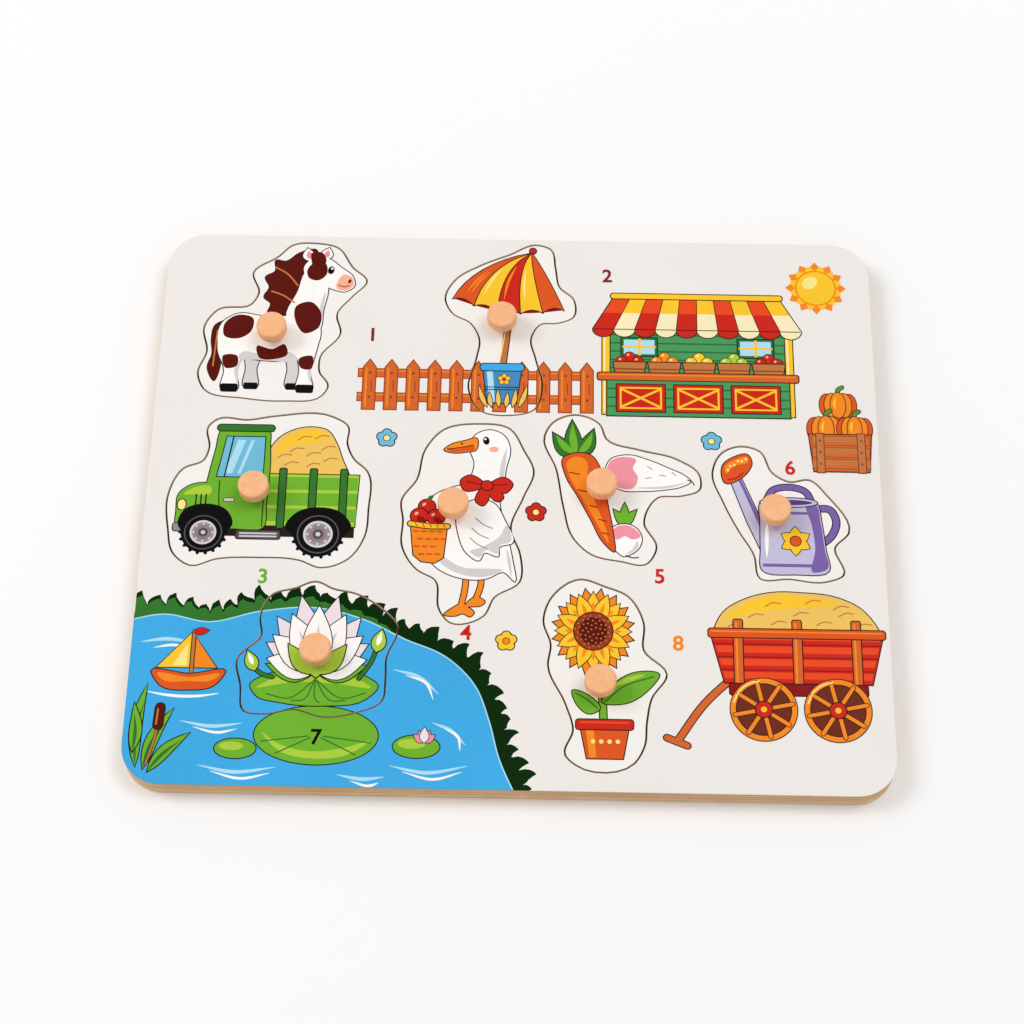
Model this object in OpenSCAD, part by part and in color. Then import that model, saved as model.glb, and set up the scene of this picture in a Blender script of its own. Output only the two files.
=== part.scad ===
// Wooden peg puzzle: a backing sheet, a frame sheet with eight shaped cut-outs,
// and eight lift-out picture pieces, each with a turned knob.
// Millimetres. Origin at the middle of the underside, +Z up, the back row at +Y.

/* [Board] */
// Length of the board, left to right
board_w = 300; // [290:1:360]
// Depth of the board, front to back
board_d = 250; // [248:1:320]
// Radius of the board's corners in plan
corner_r = 16; // [6:1:40]
// Thickness of the backing sheet
backing_t = 4; // [2:0.5:6]
// Thickness of the frame sheet that holds the cut-outs
frame_t = 6; // [4:0.5:10]
// Rounding of the board's outer rims
rim_r = 0.3; // [0.2:0.1:1.5]

/* [Pieces] */
// Millimetres to one unit of the piece outlines
outline_unit = 1; // [0.8:0.01:1.02]
// Thickness of a picture piece
piece_t = 5.8; // [3:0.1:9]
// Gap all round between a piece and its cut-out
fit_gap = 0.8; // [0.3:0.1:1.2]

/* [Knobs] */
// Largest diameter of a knob
knob_d = 12.5; // [10:0.5:14]
// Height of a knob above its piece
knob_h = 10; // [9:0.5:16]
// Rounding of the knob's top rim
top_round = 1.1; // [0.5:0.1:2]
// Rounding of the knob's lower rim
under_round = 2; // [1:0.1:3]
// Straight side between the two roundings
side_h = 3.4; // [2:0.1:4.5]
// Slope of the taper under the head, measured from upright
taper_deg = 45; // [38:1:55]
// Diameter of the neck that stands on the piece
neck_d = 5.8; // [5.6:0.1:8]
// Diameter of the tenon glued into the piece
tenon_d = 5; // [3:0.1:5.5]
// Glue gap all round the tenon
glue_gap = 0.05; // [0.02:0.01:0.2]
// Distance from the tenon's end up from the underside of its piece
tenon_lift = 0.4; // [0.2:0.1:1.5]

/* [Places of the knobs] */
// Pony, to the right of the middle
pony_x = -103; // [-106:0.5:-101]
// Pony, behind the middle
pony_y = 75; // [72:0.5:75.5]
// Parasol, to the right of the middle
parasol_x = -6.5; // [-12:0.5:0]
// Parasol, behind the middle
parasol_y = 82; // [80:0.5:82.5]
// Lorry, to the right of the middle
lorry_x = -105.5; // [-109:0.5:-102]
// Lorry, behind the middle
lorry_y = 0; // [-3:0.5:3]
// Goose, to the right of the middle
goose_x = -24.5; // [-30:0.5:-20]
// Goose, behind the middle
goose_y = -6; // [-12:0.5:-4]
// Carrot, to the right of the middle
carrot_x = 35.5; // [32:0.5:38]
// Carrot, behind the middle
carrot_y = 4; // [0:0.5:8]
// Watering can, to the right of the middle
can_x = 105.5; // [103:0.5:112]
// Watering can, behind the middle
can_y = -6.5; // [-12:0.5:6]
// Water lily, to the right of the middle
lily_x = -76.5; // [-84:0.5:-70]
// Water lily, behind the middle
lily_y = -71; // [-80:0.5:-69]
// Sunflower, to the right of the middle
sunflower_x = 35; // [28:0.5:44]
// Sunflower, behind the middle
sunflower_y = -82; // [-86:0.5:-76]

/* [Hidden] */
$fn = 64;

// Points worked out on each stretch of an outline
curve_steps = 6;
// How far a cutting shape runs past the faces it cuts
cut_over = 1;

// Points that each outline passes through, clockwise, in outline units from the knob's axis
pony_points = [
    [6, 45], [16, 46], [25, 44], [32, 34], [38, 28], [32, 20], [26, 11], [28, 2],
    [20, -10], [20, -17], [24, -24], [22, -28], [6, -31], [-10, -30], [-27, -26], [-30, -19],
    [-27, -8], [-29, 4], [-24, 12], [-10, 15], [-7, 21], [-10, 31], [0, 39]
];
parasol_points = [
    [-24, 13], [-20, 22], [-10, 29], [3, 35], [14, 40], [20, 38], [22, 29], [24, 19],
    [30, 13], [30, 5], [24, 2], [16, 1], [12, -6], [14, -16], [17, -29], [14, -40],
    [3, -43], [-8, -41], [-13, -31], [-10, -16], [-9, -7], [-13, 1], [-21, 6]
];
lorry_points = [
    [-18, 34], [-5, 34], [6, 36], [30, 36], [36, 32], [36, 24], [39, 17], [45, 11],
    [46, -6], [45, -18], [39, -28], [28, -32], [20, -29], [3, -28], [-14, -29], [-24, -32],
    [-31, -27], [-34, -16], [-35, 0], [-30, 11], [-22, 15], [-20, 21], [-21, 31]
];
goose_points = [
    [9, 40], [22, 38], [28, 28], [32, 19], [28, 7], [23, -8], [27, -19], [27, -31],
    [17, -38], [13, -46], [0, -49], [-4, -44], [-6, -31], [-14, -26], [-20, -16], [-20, -4],
    [-21, 4], [-15, 14], [-12, 28], [-5, 37]
];
carrot_points = [
    [-11, 35], [-1, 31], [2, 24], [16, 19], [31, 15], [40, 8], [40, 2], [33, -1],
    [23, -2], [17, -14], [22, -25], [18, -32], [8, -31], [-4, -28], [-11, -21], [-15, -7],
    [-18, 10], [-23, 25], [-20, 31]
];
can_points = [
    [-13, 32], [-5, 30], [0, 20], [7, 16], [15, 17], [22, 10], [30, -6], [24, -13],
    [27, -25], [20, -28], [5, -27], [-6, -27], [-8, -17], [-14, -6], [-20, 7], [-24, 20],
    [-20, 29]
];
lily_points = [
    [-2, 32], [5, 29], [14, 27], [23, 22], [31, 13], [27, 0], [27, -9], [26, -18],
    [16, -23], [4, -25], [-8, -22], [-18, -24], [-27, -23], [-29, -12], [-31, -2], [-22, 9],
    [-23, 17], [-19, 26], [-10, 29]
];
sunflower_points = [
    [-8, 46], [2, 43], [11, 39], [17, 28], [17, 16], [26, 6], [20, -4], [18, -14],
    [17, -24], [13, -31], [-9, -32], [-13, -28], [-10, -18], [-13, -7], [-20, 9], [-19, 18],
    [-22, 28], [-19, 38]
];

// Where each knob's axis stands on the top of the backing sheet
pony_at = [pony_x, pony_y, backing_t];
parasol_at = [parasol_x, parasol_y, backing_t];
lorry_at = [lorry_x, lorry_y, backing_t];
goose_at = [goose_x, goose_y, backing_t];
carrot_at = [carrot_x, carrot_y, backing_t];
can_at = [can_x, can_y, backing_t];
lily_at = [lily_x, lily_y, backing_t];
sunflower_at = [sunflower_x, sunflower_y, backing_t];

// A point of a closed list, counted on round the end
function ring(list, i) = list[(i + len(list)) % len(list)];

// The straight step from one point to the next, and its length
function leg(list, i) = ring(list, i + 1) - ring(list, i);
function leg_length(list, i) = norm(leg(list, i));

// Direction of the curve at a point, weighted towards the shorter of its two legs
function heading(list, i) =
    let (before = leg_length(list, i - 1), after = leg_length(list, i))
    (leg(list, i - 1) * after / before + leg(list, i) * before / after) / (before + after);

// Place on the curve at share s of the stretch that starts at point i
function curve_point(list, i, s) =
    let (length = leg_length(list, i))
    ring(list, i) * (2 * s ^ 3 - 3 * s ^ 2 + 1)
    + heading(list, i) * length * (s ^ 3 - 2 * s ^ 2 + s)
    + ring(list, i + 1) * (3 * s ^ 2 - 2 * s ^ 3)
    + heading(list, i + 1) * length * (s ^ 3 - s ^ 2);

// Direction of the curve at the same place
function curve_slope(list, i, s) =
    let (length = leg_length(list, i))
    ring(list, i) * (6 * s ^ 2 - 6 * s)
    + heading(list, i) * length * (3 * s ^ 2 - 4 * s + 1)
    + ring(list, i + 1) * (6 * s - 6 * s ^ 2)
    + heading(list, i + 1) * length * (3 * s ^ 2 - 2 * s);

// Smooth closed outline through the points, set out by gap along its own normals
function outline(list, gap = 0) = [
    for (i = [0 : len(list) - 1], k = [0 : curve_steps - 1])
        let (
            s = k / curve_steps,
            slope = curve_slope(list, i, s),
            outward = [-slope[1], slope[0]] / norm(slope)
        )
        curve_point(list, i, s) * outline_unit + outward * gap
];

// Half section of a sheet, from its middle out to a rim rounded at the top
module rim_section(reach, thickness) {
    square([reach - rim_r, thickness]);
    square([reach, thickness - rim_r]);
    translate([reach - rim_r, thickness - rim_r]) circle(rim_r);
}

// The same section on both sides of the middle
module bar_section(reach, thickness) {
    rim_section(reach, thickness);
    mirror([1, 0]) rim_section(reach, thickness);
}

// Sheet with the board's plan, its upper rim rounded, standing on z = 0
module sheet(thickness) {
    inner_x = board_w / 2 - corner_r;
    inner_y = board_d / 2 - corner_r;
    rotate([90, 0, 90])
        linear_extrude(height = 2 * inner_x, center = true) bar_section(board_d / 2, thickness);
    rotate([90, 0, 0])
        linear_extrude(height = 2 * inner_y, center = true) bar_section(board_w / 2, thickness);
    for (x = [-inner_x, inner_x], y = [-inner_y, inner_y])
        translate([x, y, 0]) rotate_extrude() rim_section(corner_r, thickness);
}

// Opening for one piece, right through the frame sheet
module cut_out(points) {
    translate([0, 0, -cut_over])
        linear_extrude(height = frame_t + 2 * cut_over) polygon(outline(points, fit_gap));
}

// Flat piece with the hole for its knob's tenon
module plate(points) {
    difference() {
        linear_extrude(height = piece_t) polygon(outline(points));
        translate([0, 0, -cut_over]) cylinder(d = tenon_d + 2 * glue_gap, h = piece_t + 2 * cut_over);
    }
}

// Half section of a knob's head and neck, standing on the face of its piece
module head_section() {
    head_r = knob_d / 2;
    neck_r = neck_d / 2;
    top_rim = [head_r - top_round, knob_h - top_round];
    low_rim = [head_r - under_round, knob_h - top_round - side_h];
    taper_top = low_rim + under_round * [cos(taper_deg), -sin(taper_deg)];
    neck_top = taper_top[1] - (taper_top[0] - neck_r) / tan(taper_deg);
    translate([0, low_rim[1]]) square([top_rim[0], knob_h - low_rim[1]]);
    translate([0, low_rim[1]]) square([head_r, side_h]);
    translate(top_rim) circle(top_round);
    translate(low_rim) circle(under_round);
    polygon([[0, neck_top], [neck_r, neck_top], taper_top, low_rim, [0, low_rim[1]]]);
    square([neck_r, max(neck_top, 0)]);
}

// Turned knob with its tenon, on the piece that it lifts
module knob() {
    translate([0, 0, piece_t]) rotate_extrude() head_section();
    translate([0, 0, tenon_lift]) cylinder(d = tenon_d, h = piece_t - tenon_lift + neck_d / 2);
}

// Thin sheet that closes the cut-outs from below
module backing_board() {
    color("burlywood") translate([0, 0, backing_t]) mirror([0, 0, 1]) sheet(backing_t);
}

// Thicker sheet with the eight cut-outs, glued on the backing
module frame_board() {
    color("whitesmoke") difference() {
        translate([0, 0, backing_t]) sheet(frame_t);
        translate(pony_at) cut_out(pony_points);
        translate(parasol_at) cut_out(parasol_points);
        translate(lorry_at) cut_out(lorry_points);
        translate(goose_at) cut_out(goose_points);
        translate(carrot_at) cut_out(carrot_points);
        translate(can_at) cut_out(can_points);
        translate(lily_at) cut_out(lily_points);
        translate(sunflower_at) cut_out(sunflower_points);
    }
}

// White and brown piece at the back left
module pony_piece() {
    color("sienna") translate(pony_at) plate(pony_points);
}

// Orange piece at the back, left of the middle
module parasol_piece() {
    color("orange") translate(parasol_at) plate(parasol_points);
}

// Green piece at the left
module lorry_piece() {
    color("yellowgreen") translate(lorry_at) plate(lorry_points);
}

// White piece in the middle
module goose_piece() {
    color("white") translate(goose_at) plate(goose_points);
}

// Orange and grey piece right of the middle
module carrot_piece() {
    color("tomato") translate(carrot_at) plate(carrot_points);
}

// Grey and purple piece at the right
module can_piece() {
    color("mediumpurple") translate(can_at) plate(can_points);
}

// Green and blue piece at the front left
module lily_piece() {
    color("limegreen") translate(lily_at) plate(lily_points);
}

// Yellow piece at the front, right of the middle
module sunflower_piece() {
    color("gold") translate(sunflower_at) plate(sunflower_points);
}

// Knob of the white and brown piece
module pony_knob() {
    color("sandybrown") translate(pony_at) knob();
}

// Knob of the orange piece
module parasol_knob() {
    color("sandybrown") translate(parasol_at) knob();
}

// Knob of the green piece
module lorry_knob() {
    color("sandybrown") translate(lorry_at) knob();
}

// Knob of the white piece
module goose_knob() {
    color("sandybrown") translate(goose_at) knob();
}

// Knob of the orange and grey piece
module carrot_knob() {
    color("sandybrown") translate(carrot_at) knob();
}

// Knob of the grey and purple piece
module can_knob() {
    color("sandybrown") translate(can_at) knob();
}

// Knob of the green and blue piece
module lily_knob() {
    color("sandybrown") translate(lily_at) knob();
}

// Knob of the yellow piece
module sunflower_knob() {
    color("sandybrown") translate(sunflower_at) knob();
}

backing_board();
frame_board();
pony_piece();
parasol_piece();
lorry_piece();
goose_piece();
carrot_piece();
can_piece();
lily_piece();
sunflower_piece();
pony_knob();
parasol_knob();
lorry_knob();
goose_knob();
carrot_knob();
can_knob();
lily_knob();
sunflower_knob();
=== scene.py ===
import math

import bmesh
import bpy
from bpy.props import FloatProperty, FloatVectorProperty, PointerProperty
from bpy.types import Operator, Panel, PropertyGroup
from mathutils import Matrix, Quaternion, Vector


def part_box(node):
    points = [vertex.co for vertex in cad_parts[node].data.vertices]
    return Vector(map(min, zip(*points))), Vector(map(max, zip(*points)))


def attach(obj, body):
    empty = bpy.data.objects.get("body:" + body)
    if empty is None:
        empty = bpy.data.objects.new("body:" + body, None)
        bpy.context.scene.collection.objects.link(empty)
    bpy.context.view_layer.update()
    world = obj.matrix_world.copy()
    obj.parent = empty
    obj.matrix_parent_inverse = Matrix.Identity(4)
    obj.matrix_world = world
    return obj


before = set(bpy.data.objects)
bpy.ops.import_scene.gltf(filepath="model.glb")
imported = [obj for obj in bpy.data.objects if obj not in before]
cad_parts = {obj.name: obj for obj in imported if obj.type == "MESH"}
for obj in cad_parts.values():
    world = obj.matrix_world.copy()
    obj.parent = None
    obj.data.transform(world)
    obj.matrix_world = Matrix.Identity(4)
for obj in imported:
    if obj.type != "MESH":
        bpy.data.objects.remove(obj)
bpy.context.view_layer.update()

bl_info = {
    "name": "Peg puzzle",
    "version": (1, 0, 0),
    "blender": (4, 5, 0),
    "location": "3D View > Sidebar > Peg puzzle",
    "description": "Prints, woods and stage of a wooden board with eight lift-out pieces",
    "category": "Object",
}

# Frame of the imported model
FIGURES = ("pony", "parasol", "lorry", "goose", "carrot", "can", "lily", "sunflower")
MM = 0.001


# Settings that a user would change
def linear(value):
    """Scene-linear value of a screen value from 0 to 255."""
    share = value / 255
    return share / 12.92 if share <= 0.04045 else ((share + 0.055) / 1.055) ** 2.4


def tone(label, red, green, blue):
    """Colour setting, given as it looks on a screen."""
    return FloatVectorProperty(
        name=label, description=f"Colour of the {label.lower()}", subtype="COLOR", size=3, min=0, max=1,
        default=[linear(value) for value in (red, green, blue)])


def extent(label, text, default, low, high, precision=2):
    """Length setting."""
    return FloatProperty(
        name=label, description=text, unit="LENGTH", default=default, min=low, max=high,
        precision=precision)


def wattage(label, text, default):
    """Setting of a lamp's power."""
    return FloatProperty(name=label, description=text, unit="POWER", default=default, min=0, max=300)


def position(label, text, *default):
    """Setting of a place in the scene."""
    return FloatVectorProperty(
        name=label, description=text, subtype="TRANSLATION", unit="LENGTH", default=default)


class InkColours(PropertyGroup):
    """Inks of the prints."""

    key: tone("Key line", 40, 26, 22)
    black: tone("Black ink", 8, 7, 7)
    paper: tone("White ink", 253, 250, 246)
    pale_grey: tone("Pale grey ink", 214, 208, 210)
    grey: tone("Grey ink", 150, 142, 144)
    dark_grey: tone("Dark grey ink", 84, 80, 84)
    mauve: tone("Mauve ink", 150, 124, 130)
    brown: tone("Brown ink", 91, 20, 11)
    tan: tone("Tan ink", 196, 120, 66)
    bark: tone("Bark ink", 215, 102, 46)
    dark_bark: tone("Dark bark ink", 150, 62, 28)
    peach: tone("Peach ink", 250, 180, 150)
    pink: tone("Pink ink", 240, 150, 165)
    petal: tone("Petal ink", 240, 226, 232)
    orange: tone("Orange ink", 246, 140, 36)
    deep_orange: tone("Deep orange ink", 222, 88, 34)
    ember: tone("Ember ink", 236, 76, 34)
    red: tone("Red ink", 206, 40, 28)
    dark_red: tone("Dark red ink", 140, 22, 22)
    maroon: tone("Maroon ink", 128, 44, 44)
    shade: tone("Shade ink", 110, 44, 26)
    yellow: tone("Yellow ink", 252, 200, 48)
    pale_yellow: tone("Pale yellow ink", 254, 230, 140)
    cream: tone("Cream ink", 250, 236, 190)
    straw: tone("Straw ink", 240, 196, 96)
    lime: tone("Lime ink", 172, 206, 64)
    green: tone("Green ink", 112, 178, 48)
    stem: tone("Stem ink", 92, 150, 52)
    deep_green: tone("Deep green ink", 52, 118, 44)
    hedge: tone("Hedge ink", 4, 39, 2)
    leek: tone("Leek ink", 76, 154, 92)
    deep_leek: tone("Deep leek ink", 44, 108, 64)
    blue: tone("Blue ink", 66, 172, 230)
    pale_blue: tone("Pale blue ink", 176, 224, 244)
    sky: tone("Sky ink", 112, 190, 220)
    denim: tone("Denim ink", 70, 140, 190)
    lilac: tone("Lilac ink", 196, 192, 220)
    purple: tone("Purple ink", 124, 98, 168)
    dark_purple: tone("Dark purple ink", 84, 60, 124)


INKS = tuple(InkColours.__annotations__)


class WoodColours(PropertyGroup):
    """Coats and woods of the board, the pieces and the knobs."""

    board_coat: tone("Board coat", 239, 234, 229)
    piece_coat: tone("Piece coat", 245, 241, 236)
    ply_pale: tone("Pale ply", 232, 199, 156)
    ply_dark: tone("Dark ply", 204, 159, 112)
    ply_glue: tone("Glue line", 158, 114, 70)
    # Near-white mixed into the walls of the cut-outs: painted light that lifts their shade
    painted_wall_light: tone("Painted wall light", 246, 236, 220)
    knob_pale: tone("Pale knob wood", 249, 186, 135)
    knob_dark: tone("Dark knob wood", 241, 171, 117)


class PrintSizes(PropertyGroup):
    """Sizes of the prints."""

    ink_step: extent(
        "Ink step", "Height of one ink over the one below it", 0.000008, 0.000002, 0.00005, 6)
    ink_root: extent("Ink root", "Depth of the inks in the coat", 0.00002, 0.000005, 0.0001, 6)
    coat_depth: extent("Coat depth", "Depth of the white coat at the edges", 0.00016, 0.00002, 0.0005, 6)
    ply_thickness: extent("Ply thickness", "Thickness of one ply", 0.0011, 0.0005, 0.003, 5)
    numeral_size: extent("Numeral size", "Type size of the numerals", 0.0088, 0.004, 0.02, 5)
    numeral_weight: extent(
        "Numeral weight", "How far the numerals are made bolder all round", 0.00018, 0, 0.001, 5)


class StageSettings(PropertyGroup):
    """Camera, floor and light."""

    camera_place: position("Camera place", "Where the camera stands", 0.0032, -0.4166, 0.8423)
    camera_aim: position("Camera aim", "Point that the camera looks at", -0.00077, -0.00115, 0.0)
    camera_roll: FloatProperty(
        name="Camera roll", description="Turn of the camera about its line of sight", subtype="ANGLE",
        default=math.radians(0.52))
    lens: FloatProperty(
        name="Lens", description="Focal length in millimetres", default=80.3, min=20, max=200)
    floor_size: extent("Floor size", "Width of the floor", 6.0, 1, 20)
    left_lamp: position("Left lamp", "Where the left soft lamp stands", -2.0, 0.5, 2.1)
    left_power: wattage("Left power", "Power of the left lamp", 27.0)
    right_lamp: position("Right lamp", "Where the right soft lamp stands", 1.2, 0.5, 2.6)
    right_power: wattage("Right power", "Power of the right lamp", 19.0)
    lamp_size: extent("Lamp size", "Width of the soft lamps", 1.3, 0.1, 4)
    room_light: FloatProperty(
        name="Room light", description="Strength of the even light all round", default=0.595, min=0, max=2)
    floor_tone: tone("Floor", 252, 252, 252)
    floor_clear: extent("Floor clear", "Distance past which the floor is plain white", 0.6, 0.3, 5)


class PuzzleSettings(PropertyGroup):
    """All settings of the puzzle."""

    inks: PointerProperty(type=InkColours, name="Inks", description="Inks of the prints")
    woods: PointerProperty(type=WoodColours, name="Woods", description="Coats and woods")
    print_sizes: PointerProperty(type=PrintSizes, name="Print", description="Sizes of the prints")
    stage: PointerProperty(type=StageSettings, name="Stage", description="Camera, floor and light")


# Outlines in millimetres
KEY_LINE = 0.45
TINY = 1e-9


def gap(a, b):
    """Distance between two points, never nil."""
    return math.dist(a, b) or TINY


def unit_slope(before, here, after):
    """Direction of a curve at a point, weighted by the two chords that meet there."""
    arrive = gap(before, here)
    leave = gap(here, after)
    share = arrive / (arrive + leave)
    return [(1 - share) * (here[i] - before[i]) / arrive + share * (after[i] - here[i]) / leave
            for i in (0, 1)]


def curve_point(a, b, slope_a, slope_b, t):
    """Point on the cubic curve from a to b."""
    reach = math.dist(a, b)
    weight_a = 2 * t**3 - 3 * t**2 + 1
    weight_b = 1 - weight_a
    pull_a = reach * (t**3 - 2 * t**2 + t)
    pull_b = reach * (t**3 - t**2)
    return tuple(weight_a * a[i] + pull_a * slope_a[i] + weight_b * b[i] + pull_b * slope_b[i]
                 for i in (0, 1))


def blob(*points, steps=5):
    """Smooth closed curve through the points."""
    count = len(points)
    slopes = [unit_slope(points[k - 1], points[k], points[(k + 1) % count]) for k in range(count)]
    return [curve_point(points[k], points[(k + 1) % count], slopes[k], slopes[(k + 1) % count], s / steps)
            for k in range(count) for s in range(steps)]


def course(*points, steps=6):
    """Smooth open curve through the points."""
    before = [2 * points[0][i] - points[1][i] for i in (0, 1)]
    after = [2 * points[-1][i] - points[-2][i] for i in (0, 1)]
    row = [before, *points, after]
    slopes = [unit_slope(row[k], row[k + 1], row[k + 2]) for k in range(len(points))]
    line = [curve_point(points[k], points[k + 1], slopes[k], slopes[k + 1], s / steps)
            for k in range(len(points) - 1) for s in range(steps)]
    return line + [tuple(points[-1])]


def side_normals(line):
    """Unit normals to the left of an open line."""
    found = []
    for k in range(len(line)):
        a = line[max(k - 1, 0)]
        b = line[min(k + 1, len(line) - 1)]
        chord = gap(a, b)
        found.append(((a[1] - b[1]) / chord, (b[0] - a[0]) / chord))
    return found


def cap(centre, start, radius):
    """Round end of a stroke."""
    return [spoke(*centre, start - math.pi * k / 4, radius) for k in (1, 2, 3)]


def stroke(width, *points, tip=1.0):
    """Band along a smooth open curve, with round ends. A tip under 1 narrows it towards its ends."""
    line = course(*points) if len(points) > 2 else [tuple(point) for point in points]
    normals = side_normals(line)
    last = len(line) - 1
    half = [width / 2 * (tip + (1 - tip) * math.sin(math.pi * k / last)) for k in range(last + 1)]
    left = [(p[0] + n[0] * h, p[1] + n[1] * h) for p, n, h in zip(line, normals, half)]
    right = [(p[0] - n[0] * h, p[1] - n[1] * h) for p, n, h in zip(line, normals, half)]
    first_turn = math.atan2(normals[0][1], normals[0][0])
    last_turn = math.atan2(normals[last][1], normals[last][0])
    start_cap = cap(line[0], first_turn + math.pi, half[0])
    return left + cap(line[last], last_turn, half[last]) + right[::-1] + start_cap


def disc(x, y, rx, ry=None, turn=0, sides=24):
    """Circle or ellipse, turned by degrees."""
    ry = rx if ry is None else ry
    c = math.cos(math.radians(turn))
    s = math.sin(math.radians(turn))
    spots = [(rx * math.cos(a), ry * math.sin(a)) for a in around(sides)]
    return [(x + u * c - v * s, y + u * s + v * c) for u, v in spots]


def around(count, start=0.0):
    """Even turns round a full circle, in radians."""
    return [math.radians(start) + 2 * math.pi * k / count for k in range(count)]


def spoke(x, y, turn, rx, ry=None):
    """Point at a turn round a centre, on a circle or on an ellipse."""
    return (x + rx * math.cos(turn), y + (rx if ry is None else ry) * math.sin(turn))


def leaf(foot, tip, width, bend=0.0, steps=8):
    """Pointed leaf or petal from its foot to its tip, bowed sideways by bend."""
    dx = tip[0] - foot[0]
    dy = tip[1] - foot[1]
    reach = math.hypot(dx, dy)

    def edge(t, side):
        """Point on one side of the leaf."""
        off = (side * width / 2 * math.sin(math.pi * t**0.8) + bend * math.sin(math.pi * t)) / reach
        return (foot[0] + dx * t - dy * off, foot[1] + dy * t + dx * off)

    left = [edge(k / steps, 1) for k in range(steps + 1)]
    right = [edge(k / steps, -1) for k in range(steps - 1, 0, -1)]
    return left + right


def ray_leaf(x, y, turn, inner, outer, width, flat=1.0):
    """Leaf that points away from a centre, its ends at the two radii. Flat stretches it upwards."""
    return leaf(spoke(x, y, turn, inner), spoke(x, y, turn, outer, outer * flat), width)


def box(x0, y0, x1, y1, radius=0.0):
    """Upright rectangle, its corners rounded where a radius is given."""
    if radius <= 0:
        return [(x0, y0), (x1, y0), (x1, y1), (x0, y1)]
    middles = ((x1 - radius, y0 + radius), (x1 - radius, y1 - radius),
               (x0 + radius, y1 - radius), (x0 + radius, y0 + radius))
    found = []
    for corner, (cx, cy) in enumerate(middles):
        turns = [math.radians(90 * corner - 90 + step) for step in (0, 30, 60, 90)]
        found += [spoke(cx, cy, turn, radius) for turn in turns]
    return found


def poly(*points):
    """Outline with straight sides."""
    return [tuple(point) for point in points]


def leftward(outline):
    """Outline that runs anticlockwise."""
    following = outline[1:] + outline[:1]
    area = sum(a[0] * b[1] - b[0] * a[1] for a, b in zip(outline, following))
    return outline if area > 0 else outline[::-1]


def grown(outline, by):
    """Outline moved outwards along its normals."""
    line = leftward(outline)
    found = []
    for k, here in enumerate(line):
        before = line[k - 1]
        after = line[(k + 1) % len(line)]
        arrive = gap(before, here)
        leave = gap(here, after)
        nx = (here[1] - before[1]) / arrive + (after[1] - here[1]) / leave
        ny = (before[0] - here[0]) / arrive + (here[0] - after[0]) / leave
        size = math.hypot(nx, ny) or TINY
        reach = by / max(size / 2, 0.5) / size
        found.append((here[0] + nx * reach, here[1] + ny * reach))
    return found


# Ink laid on a face
EDGE_ROOM = 1.5
BESIDE_STEP = 0.25
MERGE_REACH = 0.000001
TOP_SLACK = 0.01 * MM
NUMERAL_STEPS = 6
NUMERAL_LEVEL = 12
TILE_ROOM = 1.2
TILE_MARGIN = 0.08
WALL_SHARE = 0.02
WALL_TURN = 0.6


class Shape:
    """One flat patch of ink, with its place in the pile of inks."""

    def __init__(self, ink, outline, level):
        self.ink = ink
        self.outline = leftward(outline)
        self.level = level
        xs, ys = zip(*outline)
        self.bounds = (min(xs), min(ys), max(xs), max(ys))

    def meets(self, bounds):
        """Whether the patch's box meets another box."""
        a = self.bounds
        return a[0] <= bounds[2] and bounds[0] <= a[2] and a[1] <= bounds[3] and bounds[1] <= a[3]


class InkSheet:
    """Patches of ink in the order in which they are printed, each above those that it covers."""

    def __init__(self, origin=(0.0, 0.0)):
        self.origin = origin
        self.shapes = []

    def fill(self, ink, *outlines):
        """Prints patches of one ink, each a little over those of the same print that it crosses."""
        fresh = []
        for outline in outlines:
            placed = [(x + self.origin[0], y + self.origin[1]) for x, y in outline]
            shape = Shape(ink, placed, 1)
            below = [other.level for other in self.shapes if other.meets(shape.bounds)]
            beside = [other.level for other in fresh if other.meets(shape.bounds)]
            shape.level = 1 + math.floor(max(below, default=0))
            while shape.level in beside:
                shape.level += BESIDE_STEP
            fresh.append(shape)
        self.shapes += fresh

    def edge(self, *outlines, key="key", line=KEY_LINE):
        """Prints the line that goes round patches still to come."""
        self.fill(key, *[grown(outline, line) for outline in outlines])

    def lined(self, ink, *outlines, key="key", line=KEY_LINE):
        """Prints patches with a line round all of them together."""
        self.edge(*outlines, key=key, line=line)
        self.fill(ink, *outlines)


def deselect():
    """Leaves nothing selected."""
    bpy.ops.object.select_all(action="DESELECT")


def make_active(piece):
    """Selects one object alone and makes it the active one."""
    deselect()
    piece.select_set(True)
    bpy.context.view_layer.objects.active = piece


def ink_slabs(name, shapes, surface, sizes):
    """One object with a thin closed slab for each patch of ink."""
    deselect()
    bpy.ops.mesh.primitive_circle_add(vertices=len(shapes[0].outline), radius=MM, fill_type="NGON")
    piece = bpy.context.object
    piece.name = name
    bpy.ops.object.mode_set(mode="EDIT")
    notes = bmesh.from_edit_mesh(piece.data).verts.layers
    notes.int.new("tile")
    notes.float.new("level")
    for order, shape in enumerate(shapes):
        if order:
            bpy.ops.mesh.select_all(action="DESELECT")
            bpy.ops.mesh.primitive_circle_add(vertices=len(shape.outline), radius=MM, fill_type="NGON")
        place_outline(piece, shape, surface - sizes.ink_root)
    bpy.ops.mesh.select_all(action="SELECT")
    bpy.ops.mesh.extrude_region_move(TRANSFORM_OT_translate={"value": (0, 0, sizes.ink_root)})
    mesh = bmesh.from_edit_mesh(piece.data)
    level = mesh.verts.layers.float["level"]
    for corner in mesh.verts:
        if corner.select:
            corner.co.z = surface + corner[level] * sizes.ink_step
    bmesh.update_edit_mesh(piece.data)
    bpy.ops.mesh.select_all(action="SELECT")
    bpy.ops.mesh.normals_make_consistent(inside=False)
    bpy.ops.object.mode_set(mode="OBJECT")
    return piece


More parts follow.
